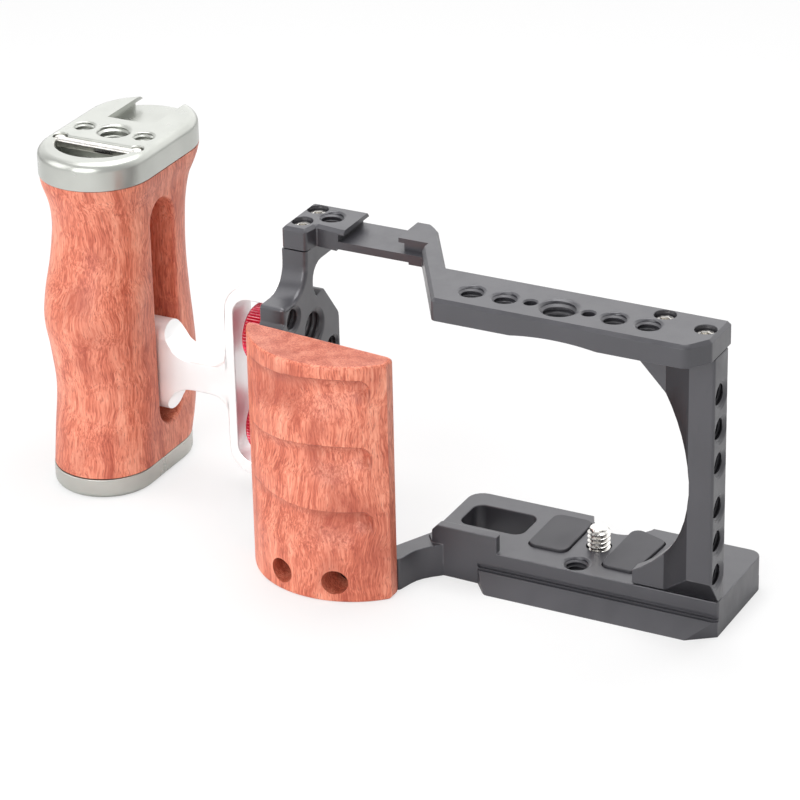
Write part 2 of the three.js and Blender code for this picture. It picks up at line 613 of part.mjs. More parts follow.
function gripOutline(inset) {
  const { centre, radius, left, right } = gripArc();
  const from = Math.atan2(left.y - centre.y, left.x - centre.x);
  const to = Math.atan2(right.y - centre.y, right.x - centre.x);
  const turn = (to - from + 2 * Math.PI) % (2 * Math.PI);
  const steps = Math.ceil(turn / turnFor(radius));
  const bow = Array.from({ length: steps + 1 }, (_, k) => {
    const angle = from + turn * k / steps;
    return [centre.x + radius * Math.cos(angle), centre.y + radius * Math.sin(angle)];
  });
  const points = [
    ...bow.map(([x, y]) => new THREE.Vector2(x, y)),
    ...outline([
      [gripRight, grip.backRight - gripBlunt.depth],
      [gripRight, grip.backRight, gripBlunt.corner], [gripLeft, grip.backLeft],
    ]).slice(1),
  ];
  const middle = new THREE.Vector2((gripLeft + gripRight) / 2, (gripFront + grip.backRight) / 2);
  const shrinkX = 1 - 2 * inset / grip.wide;
  const shrinkY = 1 - 2 * inset / (grip.backRight - gripFront);
  return points.map((p) => new THREE.Vector2(
    middle.x + (p.x - middle.x) * shrinkX, middle.y + (p.y - middle.y) * shrinkY));
}

// A solid through rings of points that lie at rising heights
function lofted(rings) {
  const count = rings[0].points.length;
  const places = rings.flatMap(({ points, z }) => points.flatMap((p) => [p.x, p.y, z]));
  const corners = [];
  for (let r = 0; r < rings.length - 1; r += 1) {
    for (let k = 0; k < count; k += 1) {
      const [a, b] = [r * count + k, r * count + (k + 1) % count];
      corners.push(a, b, a + count, b, b + count, a + count);
    }
  }
  const last = (rings.length - 1) * count;
  THREE.ShapeUtils.triangulateShape(rings[0].points, []).forEach(([a, b, c]) => corners.push(a, c, b));
  THREE.ShapeUtils.triangulateShape(rings.at(-1).points, []).forEach(([a, b, c]) => (
    corners.push(a + last, b + last, c + last)));
  const geometry = new THREE.BufferGeometry();
  geometry.setAttribute('position', new THREE.Float32BufferAttribute(places, 3));
  geometry.setIndex(corners);
  return solidOf(geometry);
}

// Finger hollow: a flatter ring than the bow, so that it runs out at both ends
function fingerHollow(topZ) {
  const bow = gripArc();
  const bowPoint = (x, inward) => {
    const across = x - bow.centre.x;
    return new THREE.Vector2(x, bow.centre.y - Math.sqrt(bow.radius ** 2 - across ** 2) + inward);
  };
  const [from, to] = [gripLeft + groove.leftBand, gripRight - groove.rightBand];
  const deepest = bowPoint((from + to) / 2, groove.deep);
  const { centre, radius } = circleThrough(bowPoint(from, 0), deepest, bowPoint(to, 0));
  const [floorShare, riseShare] = grooveFloorShares;
  const outside = radius + grip.tall;
  const profile = [
    [radius, 0], [radius, -groove.tall * floorShare], [radius + groove.deep / 2, -groove.tall * riseShare],
    [radius + groove.deep, -groove.tall], [outside, -groove.tall], [outside, groove.deep],
    [radius + groove.deep, groove.deep], [radius, 0],
  ];
  const points = profile.map(([r, z]) => new THREE.Vector2(r, z));
  const geometry = new THREE.LatheGeometry(points, sidesFor(radius));
  geometry.rotateX(Math.PI / 2);
  geometry.translate(centre.x, centre.y, topZ);
  return solidOf(geometry);
}

function frontGrip() {
  const body = lofted([
    { points: gripOutline(gripEase), z: 0 }, { points: gripOutline(gripEase / 3), z: gripEase / 3 },
    { points: gripOutline(0), z: gripEase }, { points: gripOutline(0), z: grip.tall - gripEase },
    { points: gripOutline(gripEase / 3), z: grip.tall - gripEase / 3 },
    { points: gripOutline(gripEase), z: grip.tall },
  ]);
  const hollows = Array.from({ length: groove.count }, (_, k) => (
    fingerHollow(grip.tall - groove.fromTop - k * groove.pitch)));
  const screws = gripScrewPlaces().map((x) => fastenerCutter(
    'y', [x, gripFront, gripScrew.z], -1, -gripFront, gripScrew.headAt, gripScrew.counterbore));
  return cutBy(body, ...hollows, ...screws);
}

// Side handle: an oval section whose front and back follow two waves
function waveAt(shares, share) {
  const next = Math.max(1, shares.findIndex(([at]) => at >= share));
  const [before, from, to, after] = [shares[Math.max(next - 2, 0)], shares[next - 1], shares[next],
    shares[Math.min(next + 1, shares.length - 1)]];
  const span = to[0] - from[0];
  const slopeIn = (to[1] - before[1]) / (to[0] - before[0]);
  const slopeOut = (after[1] - from[1]) / (after[0] - from[0]);
  const t = (share - from[0]) / span;
  const hermite = new THREE.Vector4(2 * t ** 3 - 3 * t ** 2 + 1, t ** 3 - 2 * t ** 2 + t,
    -2 * t ** 3 + 3 * t ** 2, t ** 3 - t ** 2);
  return hermite.dot(new THREE.Vector4(from[1], slopeIn * span, to[1], slopeOut * span));
}

function oval(half, front, back, inset = 0) {
  const radius = half - inset;
  const [near, far] = [front + half, back - half];
  const arc = (y, start) => Array.from({ length: endSteps + 1 }, (_, k) => {
    const angle = start + Math.PI * k / endSteps;
    return new THREE.Vector2(handleX + radius * Math.cos(angle), y + radius * Math.sin(angle));
  });
  return [...arc(near, -Math.PI), ...arc(far, 0)];
}

function woodRing(share) {
  const front = handlePlan.front + wave.front * waveAt(frontWaveShares, share);
  const back = handlePlan.back - wave.back * waveAt(backWaveShares, share);
  const widen = THREE.MathUtils.smoothstep(share, flareShare, 1);
  const half = THREE.MathUtils.lerp(handle.half, handle.topHalf, widen);
  const z = THREE.MathUtils.lerp(woodBottom, woodTop, share);
  return { points: oval(half, front, back), z };
}

function slotCutter(wide, x0, x1, bottom, top) {
  const [left, right] = [slot.y - wide / 2, slot.y + wide / 2];
  const radius = wide / 2 * fullRoundShare;
  return prism('x', outline([
    [left, bottom, radius], [right, bottom, radius], [right, top, radius], [left, top, radius],
  ]), x0, x1);
}

function handleWood() {
  const rings = Array.from({ length: woodRings + 1 }, (_, k) => woodRing(k / woodRings));
  const inset = (slot.wide - slot.bolt) / 2;
  const [left, right] = [handleX - handle.topHalf - over, handleX + handle.topHalf + over];
  return cutBy(
    lofted(rings),
    slotCutter(slot.wide, webFront, right, slotBottom, slotTop),
    slotCutter(slot.bolt, left, right, slotBottom + inset, slotTop - inset),
    slotCutter(slot.wide, left, webBack, slotBottom, slotTop),
    tapping('z', [handleX, capScrewY(), woodTop], -1, screw.reach),
    ...bottomScrewYs().map((y) => tapping('z', [handleX, y, woodBottom], 1, screw.reach)),
  );
}

const capScrewY = () => (strapPocket.y - strapPocket.radius + strapBar.y - strapBar.wide / 2) / 2;
const bottomScrewYs = () => [
  handlePlan.front + handle.half - gap, handlePlan.bottomBack - handle.half + gap,
];

function handleTopCap() {
  const plan = (inset) => oval(handle.topHalf, handlePlan.topFront, handlePlan.back, inset);
  const underside = woodTop + gap;
  const body = lofted([
    { points: plan(0), z: underside }, { points: plan(0), z: handle.tall - capEase },
    { points: plan(capEase / 4), z: handle.tall - capEase / 3 }, { points: plan(capEase), z: handle.tall },
  ]);
  const pocketFloor = underside + strapPocket.floor;
  const round = circlePoints(handleX, strapPocket.y, strapPocket.radius);
  const pocket = prism('z', round, pocketFloor, handle.tall + over).subtract(brick(
    handleX - strapPocket.radius - over, handleX + strapPocket.radius + over,
    strapPocket.far, strapPocket.y + strapPocket.radius + over, underside, handle.tall + 2 * over));
  const barSeat = strapBarSolid(gap);
  const half = [capShoe.width / 2, capShoe.opening / 2];
  const floor = handle.tall - capShoe.floor;
  const holes = [[threeEighths, 0], [quarter, capHoles.spacing], [quarter, -capHoles.spacing]];
  const capDeep = handle.tall - underside;
  return cutBy(
    body, pocket, barSeat,
    brick(handleX - half[0], handleX + half[0], capShoe.from, handlePlan.back + over,
      floor, handle.tall - capShoe.lipThick),
    brick(handleX - half[1], handleX + half[1], capShoe.from, handlePlan.back + over,
      floor, handle.tall + over),
    ...holes.map(([size, x]) => threadCutter(
      'z', size, [handleX + x, capHoles.y, handle.tall], -1, capDeep - gap)),
    turned('z', [[0, underside - over], [screw.hole / 2, underside - over],
      [screw.hole / 2, pocketFloor + over], [0, pocketFloor + over]],
    [handleX, capScrewY(), 0], roundSides),
  );
}

// The strap bar, or with room its seat, which also opens upwards
function strapBarSolid(room = 0) {
  const topZ = handle.tall - strapBar.drop + (room > 0 ? over : 0);
  const half = strapBar.long / 2 + room;
  const [near, far] = [strapBar.y - strapBar.wide / 2 - room, strapBar.y + strapBar.wide / 2 + room];
  const plan = outline([
    [handleX - half, near, strapBar.wide / 3], [handleX + half, near, strapBar.wide / 3],
    [handleX + half, far, strapBar.wide / 3], [handleX - half, far, strapBar.wide / 3],
  ]);
  return prism('z', plan, handle.tall - strapBar.drop - strapBar.tall - room, topZ);
}

function handleBottomCap() {
  const plan = (inset) => oval(handle.half, handlePlan.front + gap, handlePlan.bottomBack, inset);
  const topZ = woodBottom - gap;
  const body = lofted([
    { points: plan(capEase), z: 0 }, { points: plan(capEase / 4), z: capEase / 2 },
    { points: plan(0), z: capEase }, { points: plan(0), z: topZ },
  ]);
  return cutBy(body, ...bottomScrewYs().map((y) => (
    fastenerCutter('z', [handleX, y, 0], 1, topZ + over, gap))));
}

// Sliding arm: one length of extruded section, with its head rounded to fit the slot
function slidingArm() {
  const [zTop, zBottom] = [stemCentreZ + stem.tall / 2, stemCentreZ - stem.tall / 2];
  const [headTop, headBottom] = [stemCentreZ + stem.headTall / 2, stemCentreZ - stem.headTall / 2];
  const headStep = (stem.headTall - stem.tall) / 2;
  const flare = headStep * fullRoundShare;
  const wallFlare = stem.flare * fullRoundShare;
  const into = linkLeft + linkCorner.inner;
  const profile = outline([
    [headBack, headBottom], [headFront, headBottom], [headFront, zBottom, flare],
    [linkLeft, zBottom, wallFlare], [linkLeft, zBottom - stem.flare], [into, zBottom - stem.flare],
    [into, zTop + stem.flare], [linkLeft, zTop + stem.flare], [linkLeft, zTop, wallFlare],
    [headFront, zTop, flare], [headFront, headTop], [headBack, headTop],
  ]);
  const [y0, y1] = [slot.y - armThick / 2, slot.y + armThick / 2];
  const beam = prism('y', profile, y0, y1);
  const rounded = slotCutter(armThick, headBack - over, into + over, headBottom, headTop);
  const corner = linkCorner;
  const hoop = prism('y', outline([
    [linkLeft, hoopBottom, corner.outer], [linkRight, hoopBottom, corner.outer],
    [linkRight, hoopTop, corner.outer], [linkLeft, hoopTop, corner.outer],
  ]), y0, y1);
  const opening = prism('y', outline([
    [hoopLeft, hoopBottom + linkWall.ends, corner.inner],
    [hoopRight, hoopBottom + linkWall.ends, corner.inner],
    [hoopRight, hoopTop - linkWall.ends, corner.inner],
    [hoopLeft, hoopTop - linkWall.ends, corner.inner],
  ]), y0 - over, y1 + over);
  const bore = (z) => turned('x', [
    [0, -linkWall.right - over], [quarter.hole / 2 + gap, -linkWall.right - over],
    [quarter.hole / 2 + gap, over], [0, over],
  ], [linkRight, slot.y, z]);
  return cutBy(
    joined(beam.intersect(rounded), hoop), opening, ...wheelZs.map(bore),
    ...clampBoltZs().map((z) => tapping('x', [headBack, slot.y, z], 1, clampBolt.reach, clampBolt)),
  );
}

const clampBoltZs = () => [
  stemCentreZ + clampPlate.boltSpacing / 2, stemCentreZ - clampPlate.boltSpacing / 2,
];
const clampBack = webBack - gap - clampPlate.thick;
const clampHeadDrop = clampPlate.headSunk - clampBolt.headTall;

function clampPlateSolid() {
  const headTop = stemCentreZ + stem.headTall / 2;
  const plate = slotCutter(armThick, clampBack, webBack - gap, headTop - stem.headTall, headTop);
  const recess = clampBolt.head + 2 * gap;
  return cutBy(plate, ...clampBoltZs().map((z) => fastenerCutter(
    'x', [clampBack, slot.y, z], 1, clampPlate.thick + over, clampHeadDrop, recess, clampBolt)));
}

// Thumbwheel with a knurled rim, and the stud it turns
const rimLeft = hoopLeft + wheelInset.left;
const rimRight = hoopRight - wheelInset.right;

function thumbwheel(z) {
  const knurl = Array.from({ length: 2 * wheel.teeth }, (_, k) => {
    const radius = k % 2 === 0 ? wheel.radius : wheel.radius - wheel.toothDeep;
    const angle = Math.PI * k / wheel.teeth;
    return new THREE.Vector2(slot.y + radius * Math.cos(angle), z + radius * Math.sin(angle));
  });
  const eased = turned('x', [
    [0, rimLeft], [wheel.radius - wheel.edge, rimLeft], [wheel.radius + gap, rimLeft + wheel.edge + gap],
    [wheel.radius + gap, rimRight - wheel.edge - gap], [wheel.radius - wheel.edge, rimRight], [0, rimRight],
  ], [0, slot.y, z], 2 * roundSides);
  const bossLeft = hoopLeft + wheelTravel + gap;
  const boss = turned('x', [
    [0, bossLeft], [wheel.boss, bossLeft], [wheel.boss, hoopRight - gap], [0, hoopRight - gap],
  ], [0, slot.y, z]);
  const bore = turned('x', [
    [0, rimLeft + gap], [quarter.bolt / 2 + gap, rimLeft + gap],
    [quarter.bolt / 2 + gap, hoopRight + over], [0, hoopRight + over],
  ], [0, slot.y, z]);
  return cutBy(joined(prism('x', knurl, rimLeft, rimRight).intersect(eased), boss), bore);
}

function thumbStud(z) {
  const start = rimLeft + 2 * gap;
  const tip = sideInner - stud.tip;
  const radius = quarter.bolt / 2;
  return turned('x', [
    [0, start], [radius, start], [radius, tip - stud.chamfer], [radius - stud.chamfer, tip], [0, tip],
  ], [0, slot.y, z]);
}

// Assembly
add('base_plate', basePlate(), blackAnodised);
add('side_column', sideColumn(), blackAnodised);
add('grip_side_plate', sidePlate(), blackAnodised);
add('top_plate', topPlate(), blackAnodised);
add('front_grip', frontGrip(), rosewood);
padOutlines().forEach((plan, k) => {
  const floor = base.thick - pad.sunk;
  add(`camera_pad_${k + 1}`, prism('z', plan(0), floor, floor + pad.thick), rubber);
});
add('camera_screw', cameraScrewSolid(), steel);

const headFloor = (drop) => drop + screw.headTall;
[...topSideScrews(), ...topColumnScrews()].forEach(([x, y], k) => add(
  `top_screw_${k + 1}`,
  fastener('z', [x, y, cageTop - headFloor(screw.drop)], -1, screw.reach), steel));
columnFootScrews().forEach(([x, y], k) => add(
  `column_screw_${k + 1}`,
  fastener('z', [x, y, headFloor(screw.drop)], 1, base.thick - headFloor(screw.drop) + footDepth(x) - gap),
  blackSteel));
sideFootScrews().forEach(([x, y], k) => add(
  `side_plate_screw_${k + 1}`,
  fastener('z', [x, y, headFloor(screw.drop)], 1, arm.tall - headFloor(screw.drop) + footScrewReach),
  blackSteel));
gripScrewPlaces().forEach((x, k) => {
  const seatY = gripFront + headFloor(gripScrew.headAt);
  const reach = gripBackAt(x) + arm.thick - seatY;
  add(`grip_screw_${k + 1}`, fastener('y', [x, seatY, gripScrew.z], -1, reach), blackSteel);
});

add('sliding_arm', slidingArm(), brightAluminium);
add('clamp_plate', clampPlateSolid(), brightAluminium);
clampBoltZs().forEach((z, k) => {
  const seatX = clampBack + clampPlate.headSunk;
  const reach = headBack - seatX + clampBolt.reach - gap;
  add(`clamp_bolt_${k + 1}`, fastener('x', [seatX, slot.y, z], 1, reach, clampBolt), blackSteel);
});
wheelZs.forEach((z, k) => {
  add(`thumbwheel_${k + 1}`, thumbwheel(z), redAnodised);
  add(`thumbwheel_stud_${k + 1}`, thumbStud(z), steel);
});

add('handle_wood', handleWood(), rosewood);
add('handle_top_cap', handleTopCap(), greyAnodised);
add('handle_bottom_cap', handleBottomCap(), greyAnodised);
add('strap_bar', strapBarSolid(), steel);
add('cap_screw', fastener(
  'z', [handleX, capScrewY(), woodTop + gap + strapPocket.floor + gap], -1, screw.reach), blackSteel);
bottomScrewYs().forEach((y, k) => add(
  `bottom_cap_screw_${k + 1}`, fastener('z', [handleX, y, headFloor(gap)], 1, screw.reach), blackSteel));

const box = new THREE.Box3().setFromObject(camera_cage);
const middle = box.getCenter(new THREE.Vector3());
camera_cage.position.set(-middle.x, -middle.y, -box.min.z);

export default camera_cage;
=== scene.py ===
# %% [markdown]
# # A camera cage with a wooden grip and a sliding side handle
# The real thing is milled from aluminium and anodised almost black, with two oiled rosewood grips,
# bead-blasted grey caps, a satin silver arm and two red thumbwheels. Its pieces and their sizes are
# already built, so this lesson gives them their edges, threads, knurls, carving, grain and light.

import json
import math

import bpy
from mathutils import Matrix, Vector, noise

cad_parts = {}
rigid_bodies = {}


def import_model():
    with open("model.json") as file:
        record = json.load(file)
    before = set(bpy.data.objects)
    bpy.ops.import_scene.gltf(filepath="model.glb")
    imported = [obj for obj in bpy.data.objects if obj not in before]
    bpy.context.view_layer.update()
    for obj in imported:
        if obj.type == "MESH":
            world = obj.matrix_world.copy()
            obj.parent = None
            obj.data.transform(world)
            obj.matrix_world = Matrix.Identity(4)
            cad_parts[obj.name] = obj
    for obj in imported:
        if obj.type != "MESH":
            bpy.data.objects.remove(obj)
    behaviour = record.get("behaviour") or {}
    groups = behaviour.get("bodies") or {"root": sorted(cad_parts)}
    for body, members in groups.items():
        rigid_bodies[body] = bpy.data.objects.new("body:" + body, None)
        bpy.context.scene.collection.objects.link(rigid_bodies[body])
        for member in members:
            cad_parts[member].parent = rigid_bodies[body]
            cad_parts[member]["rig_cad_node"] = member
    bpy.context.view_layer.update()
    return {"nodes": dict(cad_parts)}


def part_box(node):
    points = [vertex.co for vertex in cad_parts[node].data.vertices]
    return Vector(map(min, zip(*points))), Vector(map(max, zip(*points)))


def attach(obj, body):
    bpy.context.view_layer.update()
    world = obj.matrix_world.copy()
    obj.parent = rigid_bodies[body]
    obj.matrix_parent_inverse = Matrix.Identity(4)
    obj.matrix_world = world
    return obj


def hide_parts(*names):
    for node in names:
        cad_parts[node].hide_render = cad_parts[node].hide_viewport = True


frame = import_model()
MM = 0.001  # metres in a millimetre
print("nodes:", len(frame["nodes"]))

# %% [markdown]
# Everything below is placed from a line on the real object that is easy to find, the axis of the
# camera screw. X = 0 is that axis, Y = 0 is the front face of the base, and Z = 0 is the table.

# %% Find the drawing's origin
SCREW_BEHIND_FRONT = 15.75  # millimetres from the base's front face to the camera screw's axis

screw_low, screw_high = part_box("camera_screw")
screw_axis = (screw_low + screw_high) / 2
ORIGIN = Vector((screw_axis.x, screw_axis.y - SCREW_BEHIND_FRONT * MM, 0))


def place(x, y, z):
    """A point in the drawing's millimetres, as a place in the scene."""
    return ORIGIN + Vector((x, y, z)) * MM


print("origin:", [round(v, 5) for v in ORIGIN])

# %% [markdown]
# The photograph was taken with a long lens from the front right, looking down by a quarter of a right
# angle. A long lens keeps the uprights parallel, so the camera stands almost a metre away. It leans a
# little over one degree to the side.

# %% Camera
AZIMUTH, ELEVATION, ROLL = math.radians(27.648), math.radians(25.763), math.radians(-1.289)
DISTANCE = 0.971337
AIM = (-50.8, 0.45, 49.69)  # millimetres
FOCAL, SENSOR = 165.56, 36.0

camera_data = bpy.data.cameras.new("studio_camera")
camera_data.lens = FOCAL
camera_data.sensor_width = SENSOR
camera = bpy.data.objects.new("studio_camera", camera_data)
bpy.context.scene.collection.objects.link(camera)
back = Vector((
    math.sin(AZIMUTH) * math.cos(ELEVATION),
    -math.cos(AZIMUTH) * math.cos(ELEVATION),
    math.sin(ELEVATION),
))
level_right = Vector((math.cos(AZIMUTH), math.sin(AZIMUTH), 0))
level_up = back.cross(level_right)
right = level_right * math.cos(ROLL) + level_up * math.sin(ROLL)
up = back.cross(right)
turn = Matrix((right, up, back)).transposed().to_4x4()
camera.matrix_world = Matrix.Translation(place(*AIM) + back * DISTANCE) @ turn
bpy.context.scene.camera = camera
print("camera at", [round(v, 3) for v in camera.location])

# %% [markdown]
# Shader maths is easier to read as sums than as rows of nodes. A Wire is one output of a node, and a
# sum of Wires adds its own Math nodes. A Finish is a material, or the room around it all. Its method
# named node adds any other node, with the node's settings first and then the values or Wires of its
# sockets.

# %% A short way to write materials
class Wire:
    """One output of a node."""

    def __init__(self, finish, socket):
        self.finish = finish
        self.socket = socket

    def math(self, operation, other):
        return self.finish.node("Math", {"operation": operation}, {0: self, 1: other})

    def __add__(self, other):
        return self.math("ADD", other)

    def __sub__(self, other):
        return self.math("SUBTRACT", other)

    def __mul__(self, other):
        return self.math("MULTIPLY", other)

    def or_else(self, other):
        """1 where this or the other is 1."""
        return self.math("MAXIMUM", other)

    def between(self, low, high):
        """0 where this is low, 1 where it is high, and a soft step from one to the other."""
        return self.finish.node(
            "MapRange", {"interpolation_type": "SMOOTHSTEP"},
            {"Value": self, "From Min": low, "From Max": high})


class Finish:
    """A material or a world, and its nodes."""

    def __init__(self, material, fixed, shader="Principled BSDF"):
        self.material = material
        self.material.use_nodes = True
        self.tree = self.material.node_tree
        self.shader = self.tree.nodes[shader]
        for socket, value in fixed.items():
            self.put(self.shader.inputs[socket], value)

    def put(self, socket, value):
        """Gives a socket a value, or links a Wire to it."""
        if isinstance(value, Wire):
            self.tree.links.new(value.socket, socket)
        else:
            socket.default_value = value

    def node(self, kind, settings=None, inputs=None, output=0):
        """Adds a node and hands back one of its outputs."""
        made = self.tree.nodes.new("ShaderNode" + kind)
        for setting, value in (settings or {}).items():
            if setting == "stops":
                while len(made.color_ramp.elements) < len(value):
                    made.color_ramp.elements.new(0.5)
                for element, (at, colour) in zip(made.color_ramp.elements, value):
                    element.position = at
                    element.color = (*colour, 1)
            else:
                setattr(made, setting, value)
        for socket, value in (inputs or {}).items():
            self.put(made.inputs[socket], value)
        return Wire(self, made.outputs[output])

    def spots(self, stretch):
        """The place on the piece in millimetres, times a number along each axis."""
        coordinates = self.node("TexCoord", output="Object")
        scale = [s / MM for s in stretch]
        return self.node("Mapping", inputs={"Vector": coordinates, "Scale": scale})

    def noise(self, stretch, detail=2.0, rough=0.5, at=None):
        """Cloudy noise from 0 to 1. A higher stretch makes it finer along that axis."""
        where = self.spots(stretch) if at is None else at
        return self.node(
            "TexNoise", inputs={"Vector": where, "Scale": 1.0, "Detail": detail, "Roughness": rough})

    def blend(self, share, first, second):
        """A colour that goes from the first to the second."""
        first, second = [c if isinstance(c, Wire) else (*c, 1) for c in (first, second)]
        return self.node("Mix", {"data_type": "RGBA"}, {0: share, 6: first, 7: second}, output=2)

    def feed(self, socket, value):
        self.put(self.shader.inputs[socket], value)

    def bumps(self, height, depth):
        """A bump of that depth in millimetres."""
        return self.node("Bump", inputs={"Height": height, "Distance": depth * MM, "Strength": 1.0})

    def surface(self, output, share, other):
        """Sends a mix of the shader and another one to the output."""
        own = Wire(self, self.shader.outputs[0])
        mixed = self.node("MixShader", inputs={0: share, 1: own, 2: other})
        self.put(self.tree.nodes[output].inputs["Surface"], mixed)


print("nodes are written as sums from here on")

# %% [markdown]
# A product photographer lights dark metal with big soft boxes: one overhead and a little behind, one
# in front that lights the column and the wood, and a weak one at the left. The room is white
# to the camera. It is dimmer as a light, and what the metal mirrors of it is brightest at the back, so
# that top faces shine a little and faces turned to the front stay dark.

# %% Room and lights
WHITE = (1, 1, 1, 1)
LIGHTS_AIM = (-55, 10, 40)  # the place in millimetres that every lamp looks at
ROOM_LIGHT = 0.28  # how bright the room is as a light, where 1 is the white that the camera sees
FRONT_MIRRORED, BACK_MIRRORED = 0.75, 1.8  # how bright metal sees the room's front and its back

bpy.context.scene.view_settings.view_transform = "Standard"


def soft_box(name, at, size, power):
    """A square area light at a place in millimetres, turned towards the object."""
    lamp = bpy.data.lights.new(name, "AREA")
    lamp.size = size
    lamp.energy = power
    box = bpy.data.objects.new(name, lamp)
    bpy.context.scene.collection.objects.link(box)
    box.location = place(*at)
    box.rotation_euler = (box.location - place(*LIGHTS_AIM)).to_track_quat("Z", "Y").to_euler()


soft_box("overhead_box", (-60, 160, 820), 0.7, 6.4)
soft_box("left_box", (-760, -420, 460), 0.6, 2.2)
soft_box("front_box", (-60, -900, 420), 0.6, 5.4)

world = bpy.data.worlds.new("white_room")
bpy.context.scene.world = world
room = Finish(world, {"Color": WHITE, "Strength": ROOM_LIGHT}, "Background")
camera_ray, through_ray, mirror_ray = [
    room.node("LightPath", output="Is %s Ray" % kind) for kind in ("Camera", "Transmission", "Glossy")]
seen = camera_ray.or_else(through_ray)
to_back = room.node("SeparateXYZ", inputs={0: room.node("TexCoord", output="Generated")}, output="Y")
behind = room.node("MapRange", inputs={
    "Value": to_back, "From Min": 0.0, "From Max": 0.9, "To Min": FRONT_MIRRORED, "To Max": BACK_MIRRORED})
strength = room.node("Mix", inputs={0: seen, 2: behind, 3: 1.0})
white = room.node("Background", inputs={"Color": WHITE, "Strength": strength})
room.surface("World Output", seen.or_else(mirror_ray), white)

# %% [markdown]
# The cage is aluminium, blasted with glass beads and anodised. The beads leave a very fine skin, the
# dye is a little uneven, and handling rubs the edges paler. Each bevelled piece below carries an
# attribute that is 1 on its eased edges and paints them paler, partly as wearing and partly as a
# painted highlight along each edge. The black one also reads an attribute that paints chosen faces
# darker and more metallic as painted shade. The four finishes differ in colour, gloss and how
# strongly their edges pale.

# %% Anodised finishes
PAINTED_SHADE_METAL = 0.45  # how much more metallic a face with painted shade is


# The second colour is the paler edge colour: partly wearing, partly a painted highlight.
def anodised(name, colour, wear_and_highlight_colour, metallic, gloss_range, wear_and_highlight_strength, painted_shade_colour=None):
    """Anodised aluminium. The gloss range is the roughness of clean and of smudged places."""
    finish = Finish(bpy.data.materials.new(name), {"Metallic": metallic, "IOR": 1.75})
    beads = finish.noise((5.5, 5.5, 5.5), detail=1.0)
    dye = finish.noise((0.05, 0.05, 0.05), detail=3.0)
    smudge = finish.noise((0.16, 0.16, 0.11), detail=4.0, rough=0.6)
    worn = finish.node("Attribute", {"attribute_name": "worn"}, output="Fac")
    # Paler eased edges, broken up by noise: partly wearing, partly a painted highlight along each edge.
    rub_and_highlight = worn * finish.noise((0.35, 0.35, 0.35), detail=3.0).between(0.32, 0.72) * wear_and_highlight_strength
    shade = finish.blend(dye.between(0.3, 0.7), [0.92 * c for c in colour], [1.08 * c for c in colour])
    # Painted shade: marked faces get a darker colour and more metal, as if in shadow or mirroring a dark
    # room.
    if painted_shade_colour:
        dull = finish.node("Attribute", {"attribute_name": "dull"}, output="Fac")
        shade = finish.blend(dull, shade, painted_shade_colour)
        finish.feed("Metallic", dull * PAINTED_SHADE_METAL + metallic)
    finish.feed("Base Color", finish.blend(rub_and_highlight, shade, wear_and_highlight_colour))
    low, high = gloss_range
    finish.feed("Roughness", smudge.between(0.3, 0.75) * (high - low) + low + (rub_and_highlight * -0.06))
    finish.feed("Normal", finish.bumps(beads, 0.012))
    return finish.material


# The black finish's last colour is painted shade.
black_anodised = anodised(
    "black_anodised", (0.042, 0.041, 0.049), (0.11, 0.108, 0.12), 0.2, (0.32, 0.42), 0.6,
    painted_shade_colour=(0.022, 0.021, 0.026))
grey_anodised = anodised("grey_anodised", (0.45, 0.46, 0.43), (0.63, 0.64, 0.61), 0.85, (0.27, 0.35), 0.5)
silver_anodised = anodised("silver_anodised", (0.92, 0.92, 0.92), (0.96, 0.96, 0.96), 0.6, (0.34, 0.44), 0.4)
red_anodised = anodised("red_anodised", (0.55, 0.012, 0.05), (0.95, 0.5, 0.52), 0.7, (0.25, 0.33), 1.0)
print("anodised finishes: black, grey, silver, red")

# %% [markdown]
# Bright steel is turned on a lathe, so its gloss changes in fine rings. The darker steel of the hidden
# screws is chemically blackened and a little oily. The pads are moulded rubber with a faint orange
# peel, greyer where they are dusty.

# %% Steel and rubber
def turned_steel(name, colour, dark_colour, gloss_range):
    """Steel from a lathe, whose roughness goes up and down along its axis."""
    finish = Finish(bpy.data.materials.new(name), {"Metallic": 1.0})
    rings = finish.noise((1.2, 1.2, 9.0), detail=3.0, rough=0.6)
    tint = finish.noise((0.6, 0.6, 0.6), detail=2.0)
    finish.feed("Base Color", finish.blend(tint.between(0.35, 0.7), dark_colour, colour))
    low, high = gloss_range
    finish.feed("Roughness", rings.between(0.3, 0.7) * (high - low) + low)
    finish.feed("Normal", finish.bumps(rings, 0.006))
    return finish.material


bright_steel = turned_steel("bright_steel", (0.8, 0.785, 0.755), (0.64, 0.62, 0.59), (0.12, 0.26))
black_steel = turned_steel("black_steel", (0.05, 0.05, 0.053), (0.028, 0.028, 0.03), (0.25, 0.4))

rubber_finish = Finish(bpy.data.materials.new("rubber"), {"Metallic": 0.0, "IOR": 1.5})
peel = rubber_finish.noise((2.6, 2.6, 2.6), detail=2.0)
dust = rubber_finish.noise((0.12, 0.12, 0.12), detail=4.0, rough=0.6).between(0.35, 0.75)
rubber_finish.feed("Base Color", rubber_finish.blend(dust, (0.038, 0.037, 0.043), (0.052, 0.051, 0.057)))
rubber_finish.feed("Roughness", dust * 0.15 + 0.55)
rubber_finish.feed("Normal", rubber_finish.bumps(peel, 0.02))
rubber = rubber_finish.material
print("steel and rubber ready")
